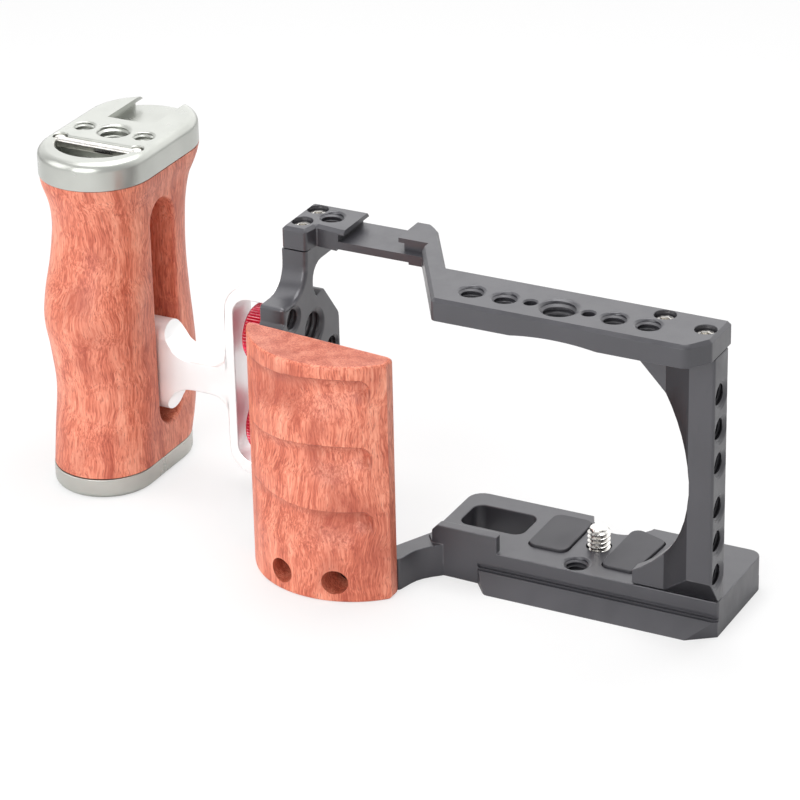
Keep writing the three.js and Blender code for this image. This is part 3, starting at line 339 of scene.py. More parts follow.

# %% [markdown]
# Rosewood has four things to see: broad bands of light and dark along the trunk, a curly figure that
# clouds across them, fine fibres, and open pores that show as short dark dashes. All of them run along
# Z, because both grips are cut along the grain. A slow noise bends the place that the others read, so
# that no line is straight. The pores also make a shallow bump. Oil darkens the wood in broad stains.
# A point attribute darkens it further: with oil on the grip's end grain, and with painted shade under
# the steps of its finger hollows.

# %% Rosewood
def rosewood_finish(name, offset):
    """Oiled rosewood. The offset in millimetres picks another part of the same trunk."""
    wood = Finish(bpy.data.materials.new(name), {
        "Metallic": 0.0, "IOR": 1.45, "Coat Roughness": 0.35, "Coat Weight": 0.12})
    where = wood.node("Mapping", inputs={
        "Vector": wood.node("TexCoord", output="Object"), "Location": offset, "Scale": [1 / MM] * 3})
    slow = wood.node("TexNoise", inputs={"Vector": where, "Scale": 0.06, "Detail": 2.0}, output="Color")
    centred = wood.node("VectorMath", {"operation": "SUBTRACT"}, {0: slow, 1: (0.5, 0.5, 0.5)})
    drift = wood.node("VectorMath", {"operation": "MULTIPLY"}, {0: centred, 1: (7.0, 7.0, 9.0)})
    bent = wood.node("VectorMath", {"operation": "ADD"}, {0: where, 1: drift})

    def grain(stretch, detail, rough=0.55):
        stretched = wood.node("VectorMath", {"operation": "MULTIPLY"}, {0: bent, 1: stretch})
        return wood.noise(None, detail=detail, rough=rough, at=stretched)

    bands = grain((0.28, 0.28, 0.018), 3.0)
    figure = grain((0.11, 0.11, 0.2), 3.0, 0.6)
    fibres = grain((2.0, 2.0, 0.11), 3.0, 0.65)
    pores = grain((2.8, 2.8, 0.4), 1.0).between(0.56, 0.74)
    stain = grain((0.045, 0.045, 0.03), 2.0).between(0.55, 0.68)
    tone = bands * 0.4 + figure * 0.1 + fibres * 0.5
    shade = wood.node("ValToRGB", {"stops": [
        (0.38, (0.44, 0.085, 0.045)), (0.47, (0.64, 0.17, 0.098)), (0.54, (0.79, 0.265, 0.165)),
        (0.64, (0.9, 0.38, 0.255))]}, {"Fac": tone})
    # Oil on the grip's end grain, and painted shade under the steps of its hollows.
    oiled = wood.node("Attribute", {"attribute_name": "oiled"}, output="Fac")
    darker = wood.blend(stain * 0.5, shade, (0.38, 0.07, 0.038))
    porous = wood.blend(pores * 0.55, darker, (0.3, 0.05, 0.03))
    wood.feed("Base Color", wood.blend(oiled * 0.85, porous, (0.2, 0.03, 0.018)))
    wood.feed("Roughness", fibres.between(0.3, 0.7) * 0.12 + 0.42 + pores * 0.1)
    wood.feed("Normal", wood.bumps(fibres * 0.35 - pores, 0.05))
    return wood.material


rosewood_grip = rosewood_finish("rosewood_grip", (3.0, 11.0, 5.0))
rosewood_handle = rosewood_finish("rosewood_handle", (41.0, 7.0, 23.0))
print("rosewood ready")

# %% [markdown]
# The floor is white card. For the camera it glows a little, so that it meets the white room without a
# line, and what is left of its own shading keeps the soft shadow under the object.

# %% Floor
FLOOR_SIZE = 8.0
FLOOR_GLOW = 0.62  # share of the card that the camera sees as plain white

bpy.ops.object.select_all(action="DESELECT")
bpy.ops.mesh.primitive_grid_add(x_subdivisions=4, y_subdivisions=4, size=FLOOR_SIZE, location=(0, 0, 0))
floor = bpy.context.active_object
floor.name = "floor_card"
card = Finish(bpy.data.materials.new("floor_card"), {"Roughness": 0.9, "Specular IOR Level": 0.2})
mottle = card.noise((0.004, 0.004, 0.004), detail=2.0)
card.feed("Base Color", card.blend(mottle, (0.9, 0.9, 0.9), (0.93, 0.93, 0.93)))
glow = card.node("Emission", inputs={"Color": WHITE, "Strength": 1.0})
card.surface("Material Output", card.node("LightPath", output="Is Camera Ray") * FLOOR_GLOW, glow)
floor.data.materials.append(card.material)
print("floor:", FLOOR_SIZE, "m")

# %% [markdown]
# A few small tools do most of the modelling. An operator acts on all that is selected, so the first
# makes one piece the only one selected. Others copy a built piece and join its triangles, apply a
# modifier, or roll a grid into a closed solid through rings of points, which is how anything turned,
# carved or threaded is made here.

# %% Modelling tools
WELD = 2e-6  # metres within which two points are one
FLAT = math.radians(0.3)
SMOOTH = math.radians(35)


def only(piece):
    """Selects one piece alone and makes it active."""
    bpy.ops.object.select_all(action="DESELECT")
    piece.select_set(True)
    bpy.context.view_layer.objects.active = piece


def in_edit_mode(piece, kind="VERT", chosen=None):
    """Enters edit mode with all selected, or with the elements that pass a test."""
    only(piece)
    bpy.ops.object.mode_set(mode="EDIT")
    bpy.ops.mesh.select_mode(type=kind)
    bpy.ops.mesh.select_all(action="SELECT" if chosen is None else "DESELECT")
    if chosen is None:
        return
    bpy.ops.object.mode_set(mode="OBJECT")
    elements = {"VERT": piece.data.vertices, "EDGE": piece.data.edges, "FACE": piece.data.polygons}[kind]
    for element in elements:
        element.select = chosen(element)
    bpy.ops.object.mode_set(mode="EDIT")


def duplicated(piece, name):
    """A copy of a piece with its own mesh."""
    only(piece)
    bpy.ops.object.duplicate()
    other = bpy.context.active_object
    other.name = name
    return other


def shifted(piece, way, chosen=None):
    """Moves all points of a piece by metres, or those that pass a test."""
    in_edit_mode(piece, "VERT", chosen)
    bpy.ops.transform.translate(value=way)
    bpy.ops.object.mode_set(mode="OBJECT")


def copied(node, name):
    """A copy of a built piece, with its triangles joined and its flat faces made whole."""
    piece = duplicated(frame["nodes"][node], name)
    del piece["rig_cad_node"]
    bpy.ops.mesh.customdata_custom_splitnormals_clear()
    in_edit_mode(piece)
    bpy.ops.mesh.remove_doubles(threshold=WELD)
    bpy.ops.mesh.dissolve_limited(angle_limit=FLAT)
    bpy.ops.object.mode_set(mode="OBJECT")
    return piece


def applied(piece, kind, **settings):
    """Adds a modifier with these settings and applies it."""
    only(piece)
    modifier = piece.modifiers.new(kind.lower(), kind)
    for setting, value in settings.items():
        setattr(modifier, setting, value)
    bpy.ops.object.modifier_apply(modifier=modifier.name)
    return piece


def rolled(name, rings):
    """A closed solid through rings of points. Each ring's last point lies where it joins up again."""
    around, rows = len(rings[0]) - 1, len(rings)
    bpy.ops.object.select_all(action="DESELECT")
    bpy.ops.mesh.primitive_grid_add(x_subdivisions=around, y_subdivisions=rows - 1, size=2)
    piece = bpy.context.active_object
    piece.name = name
    for vertex in piece.data.vertices:
        column = round((vertex.co.x + 1) / 2 * around)
        row = round((vertex.co.y + 1) / 2 * (rows - 1))
        vertex.co = place(*rings[row][column])
    in_edit_mode(piece)
    bpy.ops.mesh.remove_doubles(threshold=WELD)
    bpy.ops.mesh.fill_holes(sides=0)
    bpy.ops.mesh.select_all(action="SELECT")
    bpy.ops.mesh.normals_make_consistent(inside=False)
    bpy.ops.object.mode_set(mode="OBJECT")
    return piece


def cut(piece, *tools, operation="DIFFERENCE"):
    """Cuts a piece with others in turn, which are used up."""
    for tool in tools:
        in_edit_mode(tool)
        bpy.ops.mesh.quads_convert_to_tris()
        bpy.ops.object.mode_set(mode="OBJECT")
        applied(piece, "BOOLEAN", operation=operation, object=tool, solver="EXACT")
        bpy.data.objects.remove(tool)


print("tools ready")

# %% [markdown]
# Most cutters and fasteners are turned: a profile of radii swept round a line. A thread is the same
# grid with its columns climbing, so that each goes up by one pitch in a turn. Where the two ends of
# the grid pass the ends of the rod, the points are held at one height and weld together.

# %% Turned and threaded shapes
INCH = 25.4
COARSE, FINE = INCH / 16, INCH / 20  # pitch of the 3/8 inch and the 1/4 inch camera thread
THREAD_FORM = [(0.0, 0.0), (0.22, 0.0), (0.56, 1.0), (0.66, 1.0)]  # share of the pitch, and of the depth


def spokes(way, sides):
    """Directions at right angles to a line and evenly round it, the last where the first is."""
    side = Vector((0, 0, 1)) if abs(way.z) < 0.5 else Vector((1, 0, 0))
    first = way.cross(side).normalized()
    second = way.cross(first)
    angles = [2 * math.pi * (k % sides) / sides for k in range(sides + 1)]
    return [first * math.cos(angle) + second * math.sin(angle) for angle in angles]


def turned(name, at, way, profile, sides=48):
    """A piece turned about a line. The profile lists radius and distance along the line."""
    at, way = Vector(at), Vector(way)
    around = spokes(way, sides)
    rings = [[at + way * along + spoke * radius for spoke in around] for radius, along in profile]
    return rolled(name, rings)


def threaded(name, at, way, length, pitch, radii, limit, sides=28):
    """A threaded rod. A limit may hold its radius in or out at each distance along the line."""
    at, way = Vector(at), Vector(way)
    root, crest = radii
    rings = []
    for turn_number in range(-1, math.ceil(length / pitch) + 1):
        for share, depth in THREAD_FORM:
            points = []
            for k, spoke in enumerate(spokes(way, sides)):
                along = (turn_number + share + k / sides) * pitch
                radius = root + (crest - root) * depth
                if not 0 < along < length:
                    along, radius = min(max(along, 0), length), root
                points.append(at + way * along + spoke * limit(along, radius))
            rings.append(points)
    return rolled(name, rings)


print("pitches:", round(COARSE, 3), round(FINE, 3), "mm")

# %% [markdown]
# A hole is threaded by a tap. Here too: the plain bore of a built plate is closed first, and then a
# threaded rod with a flared end is taken away from it, which leaves the thread and the countersink.

# %% Tapped holes
ABOVE = 0.6  # how far a cutter starts outside a face
FLARE = 0.6  # run of a countersink for each millimetre that it narrows
BORE_SLACK = 0.06  # how far outside its radius a bore's own faces may lie
BLIND = 7.4  # depth of a camera thread that doesn't go through
HOLE_KINDS = {  # pitch, root and crest radius of the thread, and radius of the countersink
    "quarter": (FINE, 2.85, 3.4, 4.05),
    "three_eighths": (COARSE, 4.25, 5.0, 5.75),
    "stud": (FINE, 2.75, 3.25, 3.6),
    "cap_quarter": (FINE, 2.7, 3.1, 3.45),
    "cap_three_eighths": (COARSE, 4.1, 4.75, 5.2),
}


def tap(kind, at, way, deep, through=True):
    """A cutter for a tapped hole that enters at a point and goes on in a direction."""
    pitch, root, crest, mouth = HOLE_KINDS[kind]
    length = deep + (2 if through else 1) * ABOVE

    def flare(along, radius):
        near = mouth - (along - ABOVE) / FLARE
        far = mouth - (length - ABOVE - along) / FLARE if through else 0
        return max(radius, near, far)

    way = Vector(way)
    return threaded("tap", Vector(at) - way * ABOVE, way, length, pitch, (root, crest), flare)


def drill(at, way, profile):
    """A cutter for a plain hole. The profile lists radius and depth, from outside the face inwards."""
    return turned("drill", at, way, profile, sides=40)


def drawn(spot):
    """A place in the scene as a point in the drawing's millimetres."""
    return (spot - ORIGIN) / MM


def off_axis(spot, axis, centre):
    """How far a point is from a line along an axis (0 for X, 2 for Z)."""
    return math.hypot(*[spot[k] - centre[k] for k in range(3) if k != axis])


def closed_up(piece, bores):
    """Closes bores. Each is listed by its axis, a place on it and its radius."""
    def within(face):
        corners = [drawn(piece.data.vertices[v].co) for v in face.vertices]
        return any(
            all(off_axis(corner, axis, centre) < radius + BORE_SLACK for corner in corners)
            for axis, centre, radius in bores)

    in_edit_mode(piece, "FACE", within)
    bpy.ops.mesh.delete(type="FACE")
    bpy.ops.mesh.select_mode(type="VERT")
    bpy.ops.mesh.select_all(action="SELECT")
    bpy.ops.mesh.fill_holes(sides=0)
    bpy.ops.mesh.select_all(action="SELECT")
    bpy.ops.mesh.dissolve_limited(angle_limit=FLAT)
    bpy.ops.object.mode_set(mode="OBJECT")


print("hole kinds:", ", ".join(HOLE_KINDS))

# %% [markdown]
# No milled edge is sharp. Edges that turn by more than a small angle are bevelled, and the new faces
# go to the second material slot. From that mark comes an attribute that is 1 along the middle of each
# eased edge and paints it paler, partly as wearing and partly as a painted highlight. A weighted normal
# modifier then keeps the big faces flat to the light. Whole faces can be given painted shade as well.

# %% Eased edges
EASE_FROM = math.radians(32)


def bevelled(piece, width, chosen):
    """Bevels the sharp edges whose middle, in drawing millimetres, passes a test."""
    in_edit_mode(piece, "EDGE", lambda edge: False)
    bpy.ops.mesh.edges_select_sharp(sharpness=EASE_FROM)
    bpy.ops.object.mode_set(mode="OBJECT")
    points = piece.data.vertices
    picked = set()
    for edge in piece.data.edges:
        ends = [drawn(points[v].co) for v in edge.vertices]
        if edge.select and chosen((ends[0] + ends[1]) / 2):
            picked.add(edge.index)
    in_edit_mode(piece, "EDGE", lambda edge: edge.index in picked)
    bpy.ops.mesh.bevel(offset=width * MM, segments=3, affect="EDGES", clamp_overlap=False, material=1)
    bpy.ops.object.mode_set(mode="OBJECT")


def eased(piece, material, *eases):
    """Bevels a piece by each width and test, and turns its second slot into an attribute that pales the
    edges, as wearing and as a painted highlight.
    """
    mesh = piece.data
    mesh.materials.clear()
    for _ in range(2):
        mesh.materials.append(material)
    for face in mesh.polygons:
        face.material_index = 0
    for width, chosen in eases:
        bevelled(piece, width, chosen)
    inside = [1.0] * len(mesh.vertices)
    for face in mesh.polygons:
        if face.material_index == 0:
            for vertex in face.vertices:
                inside[vertex] = 0.0
        face.material_index = 0
    # 1 on eased edges, which the finish paints paler: partly wearing, partly a painted highlight.
    worn = mesh.attributes.new("worn", "FLOAT", "POINT")
    worn.data.foreach_set("value", inside)
    while len(mesh.materials) > 1:
        mesh.materials.pop(index=1)
    smoothed(piece)


def marked(piece, name, share_at):
    """Gives each point of a piece an attribute that follows from its place."""
    shares = piece.data.attributes.new(name, "FLOAT", "POINT")
    for vertex, share in zip(piece.data.vertices, shares.data):
        share.value = float(share_at(drawn(vertex.co)))


def painted_shade_on(piece, chosen):
    """Paints shade on the faces that pass a test of their place and direction, marking them darker."""
    attributes = piece.data.attributes
    dull = attributes.get("dull") or attributes.new("dull", "FLOAT", "FACE")
    for face, value in zip(piece.data.polygons, dull.data):
        if chosen(drawn(face.center), face.normal):
            value.value = 1.0


def smoothed(piece):
    """Smooth shading on curved faces, flat shading on flat ones."""
    only(piece)
    bpy.ops.object.shade_smooth_by_angle(angle=SMOOTH)
    return applied(piece, "WEIGHTED_NORMAL", keep_sharp=True, weight=50)


def painted(piece, material):
    """Gives a piece one material and smooth shading."""
    piece.data.materials.clear()
    piece.data.materials.append(material)
    return smoothed(piece)


def finished(piece, body, slot, *nodes):
    """The piece rides on a body and stands for built nodes, which are hidden. The slot is not used."""
    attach(piece, body)
    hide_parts(*nodes)
    print(piece.name, len(piece.data.polygons), "faces")


def beside(spot, axis, holes, room=0.25):
    """Whether a point lies within the radius of a hole that runs along an axis."""
    return any(off_axis(spot, axis, at) < radius + room for at, radius in holes)


print("edges are eased from", round(math.degrees(EASE_FROM)), "degrees")

# %% [markdown]
# Some plates and pockets are rolled up from a plan: a list of corners, each with its radius. The same
# outline is drawn in by a little at each height, and that makes the eased rim.

# %% Plates with eased rims
CORNER_STEPS = 8


def outline(corners):
    """The points of an outline whose corners are listed as x, y and a radius."""
    points = []
    for k, (x, y, radius) in enumerate(corners):
        here = Vector((x, y))
        if radius == 0:
            points.append(here)
            continue
        back = (Vector(corners[k - 1][:2]) - here).normalized()
        ahead = (Vector(corners[(k + 1) % len(corners)][:2]) - here).normalized()
        half = back.angle(ahead) / 2
        middle = here + (back + ahead).normalized() * radius / math.sin(half)
        start = here + back * radius / math.tan(half) - middle
        end = here + ahead * radius / math.tan(half) - middle
        turn = start.angle_signed(end)
        for step in range(CORNER_STEPS + 1):
            angle = -turn * step / CORNER_STEPS
            points.append(middle + Matrix.Rotation(angle, 2) @ start)
    return points


def drawn_in(points, inset):
    """The same outline, drawn in by an even distance."""
    moved = []
    for k, here in enumerate(points):
        before = (here - points[k - 1]).normalized()
        after = (points[(k + 1) % len(points)] - here).normalized()
        normal = Vector((-before.y - after.y, before.x + after.x)).normalized()
        reach = inset / max(normal.dot(Vector((-before.y, before.x))), 0.3)
        moved.append(here + normal * reach)
    return moved


def plate(name, corners, profile):
    """A flat plate. The profile lists height and inset, from the underside up."""
    points = outline(corners)
    rings = []
    for z, inset in profile:
        ring_points = [(*spot, z) for spot in drawn_in(points, inset)]
        rings.append(ring_points + ring_points[:1])
    return rolled(name, rings)


def block_cutter(low, high):
    """A box between two corners in drawing millimetres."""
    bpy.ops.object.select_all(action="DESELECT")
    middle = [(a + b) / 2 for a, b in zip(low, high)]
    bpy.ops.mesh.primitive_cube_add(size=MM, location=place(*middle))
    block = bpy.context.active_object
    block.scale = [b - a for a, b in zip(low, high)]
    bpy.ops.object.transform_apply(location=True, rotation=True, scale=True)
    return block


print("plate tools ready")

# %% [markdown]
# The base plate comes first. It is copied, and then worked further: the window is opened out with a
# small chamfer, the rail's end is rounded with the corner above it, and a fine groove is run along the
# rail. The tripod hole is tapped. Edges are eased, apart from those of the rail, the window, the bores
# and the two pockets that the rubber pads fill.

# %% Base plate
TRIPOD_HOLE, TRIPOD_MOUTH = (-1.3, 4.4, 10.1), 4.1
PAD_POCKETS = [((-18.4, -5.7), (7.3, 27.7)), ((4.2, 16.6), (4.6, 29.1))]
WINDOW = [(-40.2, 12.1, 3), (-21.3, 12.1, 3), (-21.3, 24.2, 3), (-40.2, 24.2, 3)]
WINDOW_CUT = [(-1, 0), (9.9, 0), (10.1, -0.2), (10.6, -0.7)]
RAIL_END = [
    (32.8, 33.5, 0), (35.3, 31.03, 0), (40.83, 31.03, 3.4), (40.83, 27, 0), (46, 27, 0), (46, 38, 0),
    (32.8, 38, 0),
]
RAIL_END_CUT = [(-1, 0), (6.9, 0)]
RAIL_GROOVE = ((-28.2, -0.3, 4.9), (46, 0.7, 5.8))
SCREW_BORE = ((0, SCREW_BEHIND_FRONT, 0), 6.0)
FOOT_SCREWS = ["column_screw_1", "column_screw_2", "side_plate_screw_1", "side_plate_screw_2"]
TOP_SCREWS = ["top_screw_1", "top_screw_2", "top_screw_3", "top_screw_4"]


def middle_of(node):
    """The middle of a built piece, in the drawing's millimetres."""
    low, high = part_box(node)
    return drawn((low + high) / 2)


hidden_bores = [(2, middle_of(node), 1.5) for node in FOOT_SCREWS + TOP_SCREWS]
base_bores = [(TRIPOD_HOLE, TRIPOD_MOUTH), SCREW_BORE]
base_bores += [(middle_of(node), 3.0) for node in FOOT_SCREWS]


def base_edge(spot):
    """Whether the edge at a place is eased. The next plates have tests of the same kind."""
    in_pocket = any(x0 < spot.x < x1 and y0 < spot.y < y1 for (x0, x1), (y0, y1) in PAD_POCKETS)
    on_dovetail = spot.z < 6.8 and (spot.y < 1.3 or spot.y > 24 or spot.x > 30) and spot.x > -31
    at_end = (spot.x > 36 and spot.z < 9.6) or (spot.y > 28 and spot.z < 1)
    at_window = -41 < spot.x < -20.5 and 11.5 < spot.y < 25
    spared = on_dovetail or at_end or at_window or beside(spot, 2, base_bores)
    return not (spared or (in_pocket and spot.z > 9))


base = copied("base_plate", "milled_base")
closed_up(base, [(2, TRIPOD_HOLE, 4.0)])
cut(base, plate("window_cutter", WINDOW, WINDOW_CUT))
cut(base, plate("end_cutter", RAIL_END, RAIL_END_CUT))
cut(base, block_cutter(*RAIL_GROOVE))
cut(base, tap("quarter", TRIPOD_HOLE, (0, 0, -1), 10.1))
eased(base, black_anodised, (0.3, base_edge))
finished(base, "cage", "black_anodised", "base_plate")

# %% [markdown]
# The column carries six tapped holes on its outer face, three above and three below the middle. The
# bores of the screws that hold it are closed as well, because the screws fill them. Its slanting face
# in front and the underside of its foot get painted shade: they are darker, as if the face mirrored a
# dark room and the underside lay in shadow.

# %% Column
COLUMN_FACE, COLUMN_HOLE_Y = 40.8, -0.4
COLUMN_HOLE_HEIGHTS = (69.9, 60.2, 50.5, 37.9, 28.2, 18.5)

column_holes = [((COLUMN_FACE, COLUMN_HOLE_Y, z), 4.0) for z in COLUMN_HOLE_HEIGHTS]


def column_edge(spot):
    return not (spot.x > 32 and beside(spot, 0, column_holes))


column = copied("side_column", "milled_column")
closed_up(column, [(0, *hole) for hole in column_holes] + hidden_bores)
cut(column, *[tap("quarter", at, (-1, 0, 0), BLIND, through=False) for at, _ in column_holes])
eased(column, black_anodised, (0.3, column_edge))
# Painted shade on the slanting front face, as if it mirrored a dark room, and on the underside of the foot.
painted_shade_on(column, lambda at, way: way.x < -0.3 and way.y < -0.3 and at.x > 24)
painted_shade_on(column, lambda at, way: way.z < -0.3 and at.z < 20)
finished(column, "cage", "black_anodised", "side_column")

# %% [markdown]
# The plate beside the grip has a wide chamfer down the inner front edge of its neck and flare, and four
# tapped holes. Two of them take the thumbwheels' studs.

# %% Side plate
SIDE_FACE, SIDE_THICK = -84.2, 7.4
STUD_Y, STUD_HEIGHTS = 25.4, (48.4, 21.2)
side_holes = [("quarter", (SIDE_FACE, 4.4, 64.9), 4.0), ("three_eighths", (SIDE_FACE, 15.7, 58.0), 5.7)]
side_holes += [("stud", (SIDE_FACE, STUD_Y, z), 3.5) for z in STUD_HEIGHTS]
side_bores = [(at, radius) for _, at, radius in side_holes]


def neck_front(spot):
    at_front = 55 < spot.z < 80.5 and -2 < spot.y < 12.5 and not beside(spot, 0, side_bores, 0.6)
    return abs(spot.x - SIDE_FACE) < 0.05 and at_front


def other_side_edge(spot):
    at_neck = spot.x > SIDE_FACE - 2 and 54 < spot.z < 80.9 and spot.y < 12.5
    at_joint = spot.z > 81 or spot.z < 15.5
    return not (at_neck or at_joint or beside(spot, 0, side_bores))


side_plate = copied("grip_side_plate", "milled_side_plate")
closed_up(side_plate, [(0, *hole) for hole in side_bores] + hidden_bores)
cut(side_plate, *[tap(kind, at, (-1, 0, 0), SIDE_THICK) for kind, at, _ in side_holes])
eased(side_plate, black_anodised, (1.3, neck_front), (0.35, other_side_edge))
finished(side_plate, "cage", "black_anodised", "grip_side_plate")

# %% [markdown]
# The top plate has a plain chamfer round its upper outline. A bevel would trip over its small corners,
# so the plate is rolled up afresh from its plan, with the rim drawn in ring by ring. The channel of the
# accessory shoe, the arch under the plate and all the holes are then cut as a milling machine does it.

# %% Top plate
TOP, TOP_UNDER, ROW_Y, ROW_X = 87.9, 81.7, -5.05, -1.85
TOP_THICK = TOP - TOP_UNDER
TOP_PLAN = [
    (-91.6, 12, 1.2), (-84.2, 12, 1.2), (-83.3, 16.6, 0.4), (-76.15, 15.7, 0), (-51.4, 15.7, 0),
    (-33.9, -13.5, 1.5), (36.4, -13.5, 3.6), (40.8, -7.2, 1.6), (40.8, 6.1, 1.2), (-39.4, 6.1, 0.9),
    (-52.3, 27.4, 3), (-55.3, 30.3, 1.5), (-91.6, 30.3, 1.5),
]
RIM = [
    (TOP_UNDER, 0.12), (TOP_UNDER + 0.12, 0), (TOP - 0.95, 0), (TOP - 0.9, 0.03), (TOP - 0.05, 0.85),
    (TOP, 0.92),
]
SHOE_CENTRE, CHANNEL_HALF, MOUTH_HALF, SHOE_UNDER, SHOE_FLOOR = -67.0, 9.35, 7.6, 86.6, 84.6
SHOE_RELIEF = ((-77.05, 9, TOP_UNDER - 2), (-55.35, 34, SHOE_FLOOR - 2.2))  # thins the shoe from below
ARCH_HALF, ARCH_RISE = 12.4, 1.0
BLOCK_HOLE = (-82.1, 23.4, TOP)
THROUGH = TOP_THICK + ABOVE
PIN_HOLE = [(2.1 + ABOVE, -ABOVE), (1.7, 0.4), (1.7, THROUGH)]
SCREW_RECESS = [(3.05 + ABOVE, -ABOVE), (2.9, 0.15), (2.9, 3.4), (1.3, 3.4), (1.3, THROUGH)]

top = plate("milled_top", TOP_PLAN, RIM)
channel, mouth = [(SHOE_CENTRE - half, SHOE_CENTRE + half) for half in (CHANNEL_HALF, MOUTH_HALF)]
cut(top, block_cutter(*SHOE_RELIEF))
cut(top, block_cutter((channel[0], 10, SHOE_FLOOR), (channel[1], 33, SHOE_UNDER)))
cut(top, block_cutter((mouth[0], 10, SHOE_FLOOR), (mouth[1], 33, TOP + 2)))
cut(top, block_cutter((mouth[1], 10, SHOE_FLOOR), (-50.5, 18, TOP + 2)))
arch_radius = (ARCH_HALF ** 2 + ARCH_RISE ** 2) / (2 * ARCH_RISE)
arch_at = (0, -18, TOP_UNDER + ARCH_RISE - arch_radius)
cut(top, turned("arch", arch_at, (0, 1, 0), [(arch_radius, 0), (arch_radius, 30)], sides=360))
for x in (0, -24.6, -15.2, 15.2, 24.6):
    cut(top, tap("quarter" if x else "three_eighths", (ROW_X + x, ROW_Y, TOP), (0, 0, -1), TOP_THICK))
cut(top, tap("quarter", BLOCK_HOLE, (0, 0, -1), TOP_THICK))
for x in (-8.1, 8.1):
    cut(top, drill((ROW_X + x, ROW_Y, TOP), (0, 0, -1), PIN_HOLE))
for node in TOP_SCREWS:
    cut(top, drill((middle_of(node).x, middle_of(node).y, TOP), (0, 0, -1), SCREW_RECESS))
painted(top, black_anodised)
finished(top, "cage", "black_anodised", "top_plate")

# %% [markdown]
# The screws are socket cap screws. One is turned, bored with a hexagon and bevelled, and the others are
# copies of it with their shanks drawn out to length. Each stands where its built node stands, with its
# head towards the side that the hexagon key comes from.

# %% Socket screws
BENCH = drawn(Vector((0, 0, 0)))  # the scene's own origin, where one of each screw is made
UP, DOWN = Vector((0, 0, 1)), Vector((0, 0, -1))
MASTER_LENGTH, SHORTEST = 8.0, 5
TOP_SUNK = 0.3  # how far the top screws' heads stand below the plate


def socket_screw(name, head, head_tall, shank, key, material):
    """A screw that hangs from the bench, its head's top at the bench's height."""
    ease = head * 0.14
    profile = [
        (head - ease * 1.6, 0), (head - ease * 0.6, ease * 0.3), (head, ease * 1.2), (head, head_tall),
        (shank, head_tall), (shank, MASTER_LENGTH - shank * 0.4), (shank * 0.6, MASTER_LENGTH),
    ]
    screw = turned(name, BENCH, DOWN, profile, sides=40)
    socket = [(key * 1.16, -0.2), (key * 1.16, 0.06), (key, 0.3), (key, head_tall * 0.62)]
    cut(screw, turned("key", BENCH, DOWN, socket, sides=6))
    return painted(screw, material)


def driven(master, node, way, sunk):
    """A copy of a screw at its node, drawn out to the node's length and pointing a way."""
    screw = duplicated(master, "socket_" + node)
    low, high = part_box(node)
    way = Vector(way)
    reach = abs((high - low).dot(way))
    length = max(reach / MM, SHORTEST) - sunk
    tip = min(vertex.co.z for vertex in screw.data.vertices)
    shifted(screw, (0, 0, -tip - length * MM), lambda vertex: vertex.co.z < tip + 1.5 * MM)
    screw.location = (low + high) / 2 - way * (reach / 2 - sunk * MM)
    screw.rotation_euler = DOWN.rotation_difference(way).to_euler()
    only(screw)
    bpy.ops.object.transform_apply(location=True, rotation=True, scale=True)
    return screw


SCREWS = [  # each row has the master, the body, the way they point, how far they are sunk, and the nodes
    ("bright", "cage", (0, 0, -1), TOP_SUNK, TOP_SCREWS),
    ("dark", "handle", (0, 0, -1), 0, ["cap_screw"]),
    ("dark", "cage", (0, 0, 1), 0, FOOT_SCREWS),
    ("dark", "handle", (0, 0, 1), 0, ["bottom_cap_screw_1", "bottom_cap_screw_2"]),
    ("dark", "cage", (0, 1, 0), 0, ["grip_screw_1", "grip_screw_2"]),
    ("bolt", "cage", (1, 0, 0), 0, ["clamp_bolt_1", "clamp_bolt_2"]),
]
masters = {
    "bright": socket_screw("bright_master", 2.6, 2.3, 1.0, 1.45, bright_steel),
    "dark": socket_screw("dark_master", 2.6, 2.3, 1.0, 1.45, black_steel),
    "bolt": socket_screw("bolt_master", 4.1, 3.0, 2.4, 2.4, black_steel),
}
for kind, body, way, sunk, nodes in SCREWS:
    slot = "bright_steel" if kind == "bright" else "black_steel"
    for node in nodes:
        finished(driven(masters[kind], node, way, sunk), body, slot, node)
for master in masters.values():
    bpy.data.objects.remove(master)

# %% [markdown]
# The camera screw has a coin slot in its head, a plain neck that keeps it in the base, and four turns
# of thread above the plate. Head and neck are turned, a threaded rod is added to them, and the slot is
# cut last.

# %% Camera screw
SCREW_AT = (0, SCREW_BEHIND_FRONT, 0)
SCREW_PROFILE = [
    (5.0, 1.2), (5.35, 1.3), (5.5, 1.6), (5.5, 3.9), (5.3, 4.2), (2.5, 4.2), (2.5, 8.6),
]
THREAD_FROM, SCREW_TIP = 8.1, 15.8
COIN_SLOT = ((-7, SCREW_BEHIND_FRONT - 0.7, 0.4), (7, SCREW_BEHIND_FRONT + 0.7, 2.4))
TIP_SLOPE = 0.8  # how fast a thread's radius grows from its tip. From its other end it grows twice as fast


def pointed(length, root):
    """Holds a thread in near both of its ends."""
    def limit(along, radius):
        return min(radius, root + (length - along) * TIP_SLOPE, root + along * TIP_SLOPE * 2)
    return limit


camera_screw = turned("camera_thread", SCREW_AT, UP, SCREW_PROFILE)
length = SCREW_TIP - THREAD_FROM
thread_at = (*SCREW_AT[:2], THREAD_FROM)
rod = threaded("rod", thread_at, UP, length, FINE, (2.46, 3.08), pointed(length, 2.3), sides=40)
cut(camera_screw, rod, operation="UNION")
cut(camera_screw, block_cutter(*COIN_SLOT))
painted(camera_screw, bright_steel)
finished(camera_screw, "camera_screw", "bright_steel", "camera_screw")

# %% [markdown]
# Each thumbwheel turns a stud with the same thread. One stud is made, and the other is its copy.

# %% Studs
X_WAY = Vector((1, 0, 0))


def lower_copy(piece, name):
    """A copy of an upper piece, moved down to the lower hole."""
    other = duplicated(piece, name)
    shifted(other, (0, 0, (STUD_HEIGHTS[1] - STUD_HEIGHTS[0]) * MM))
    return other


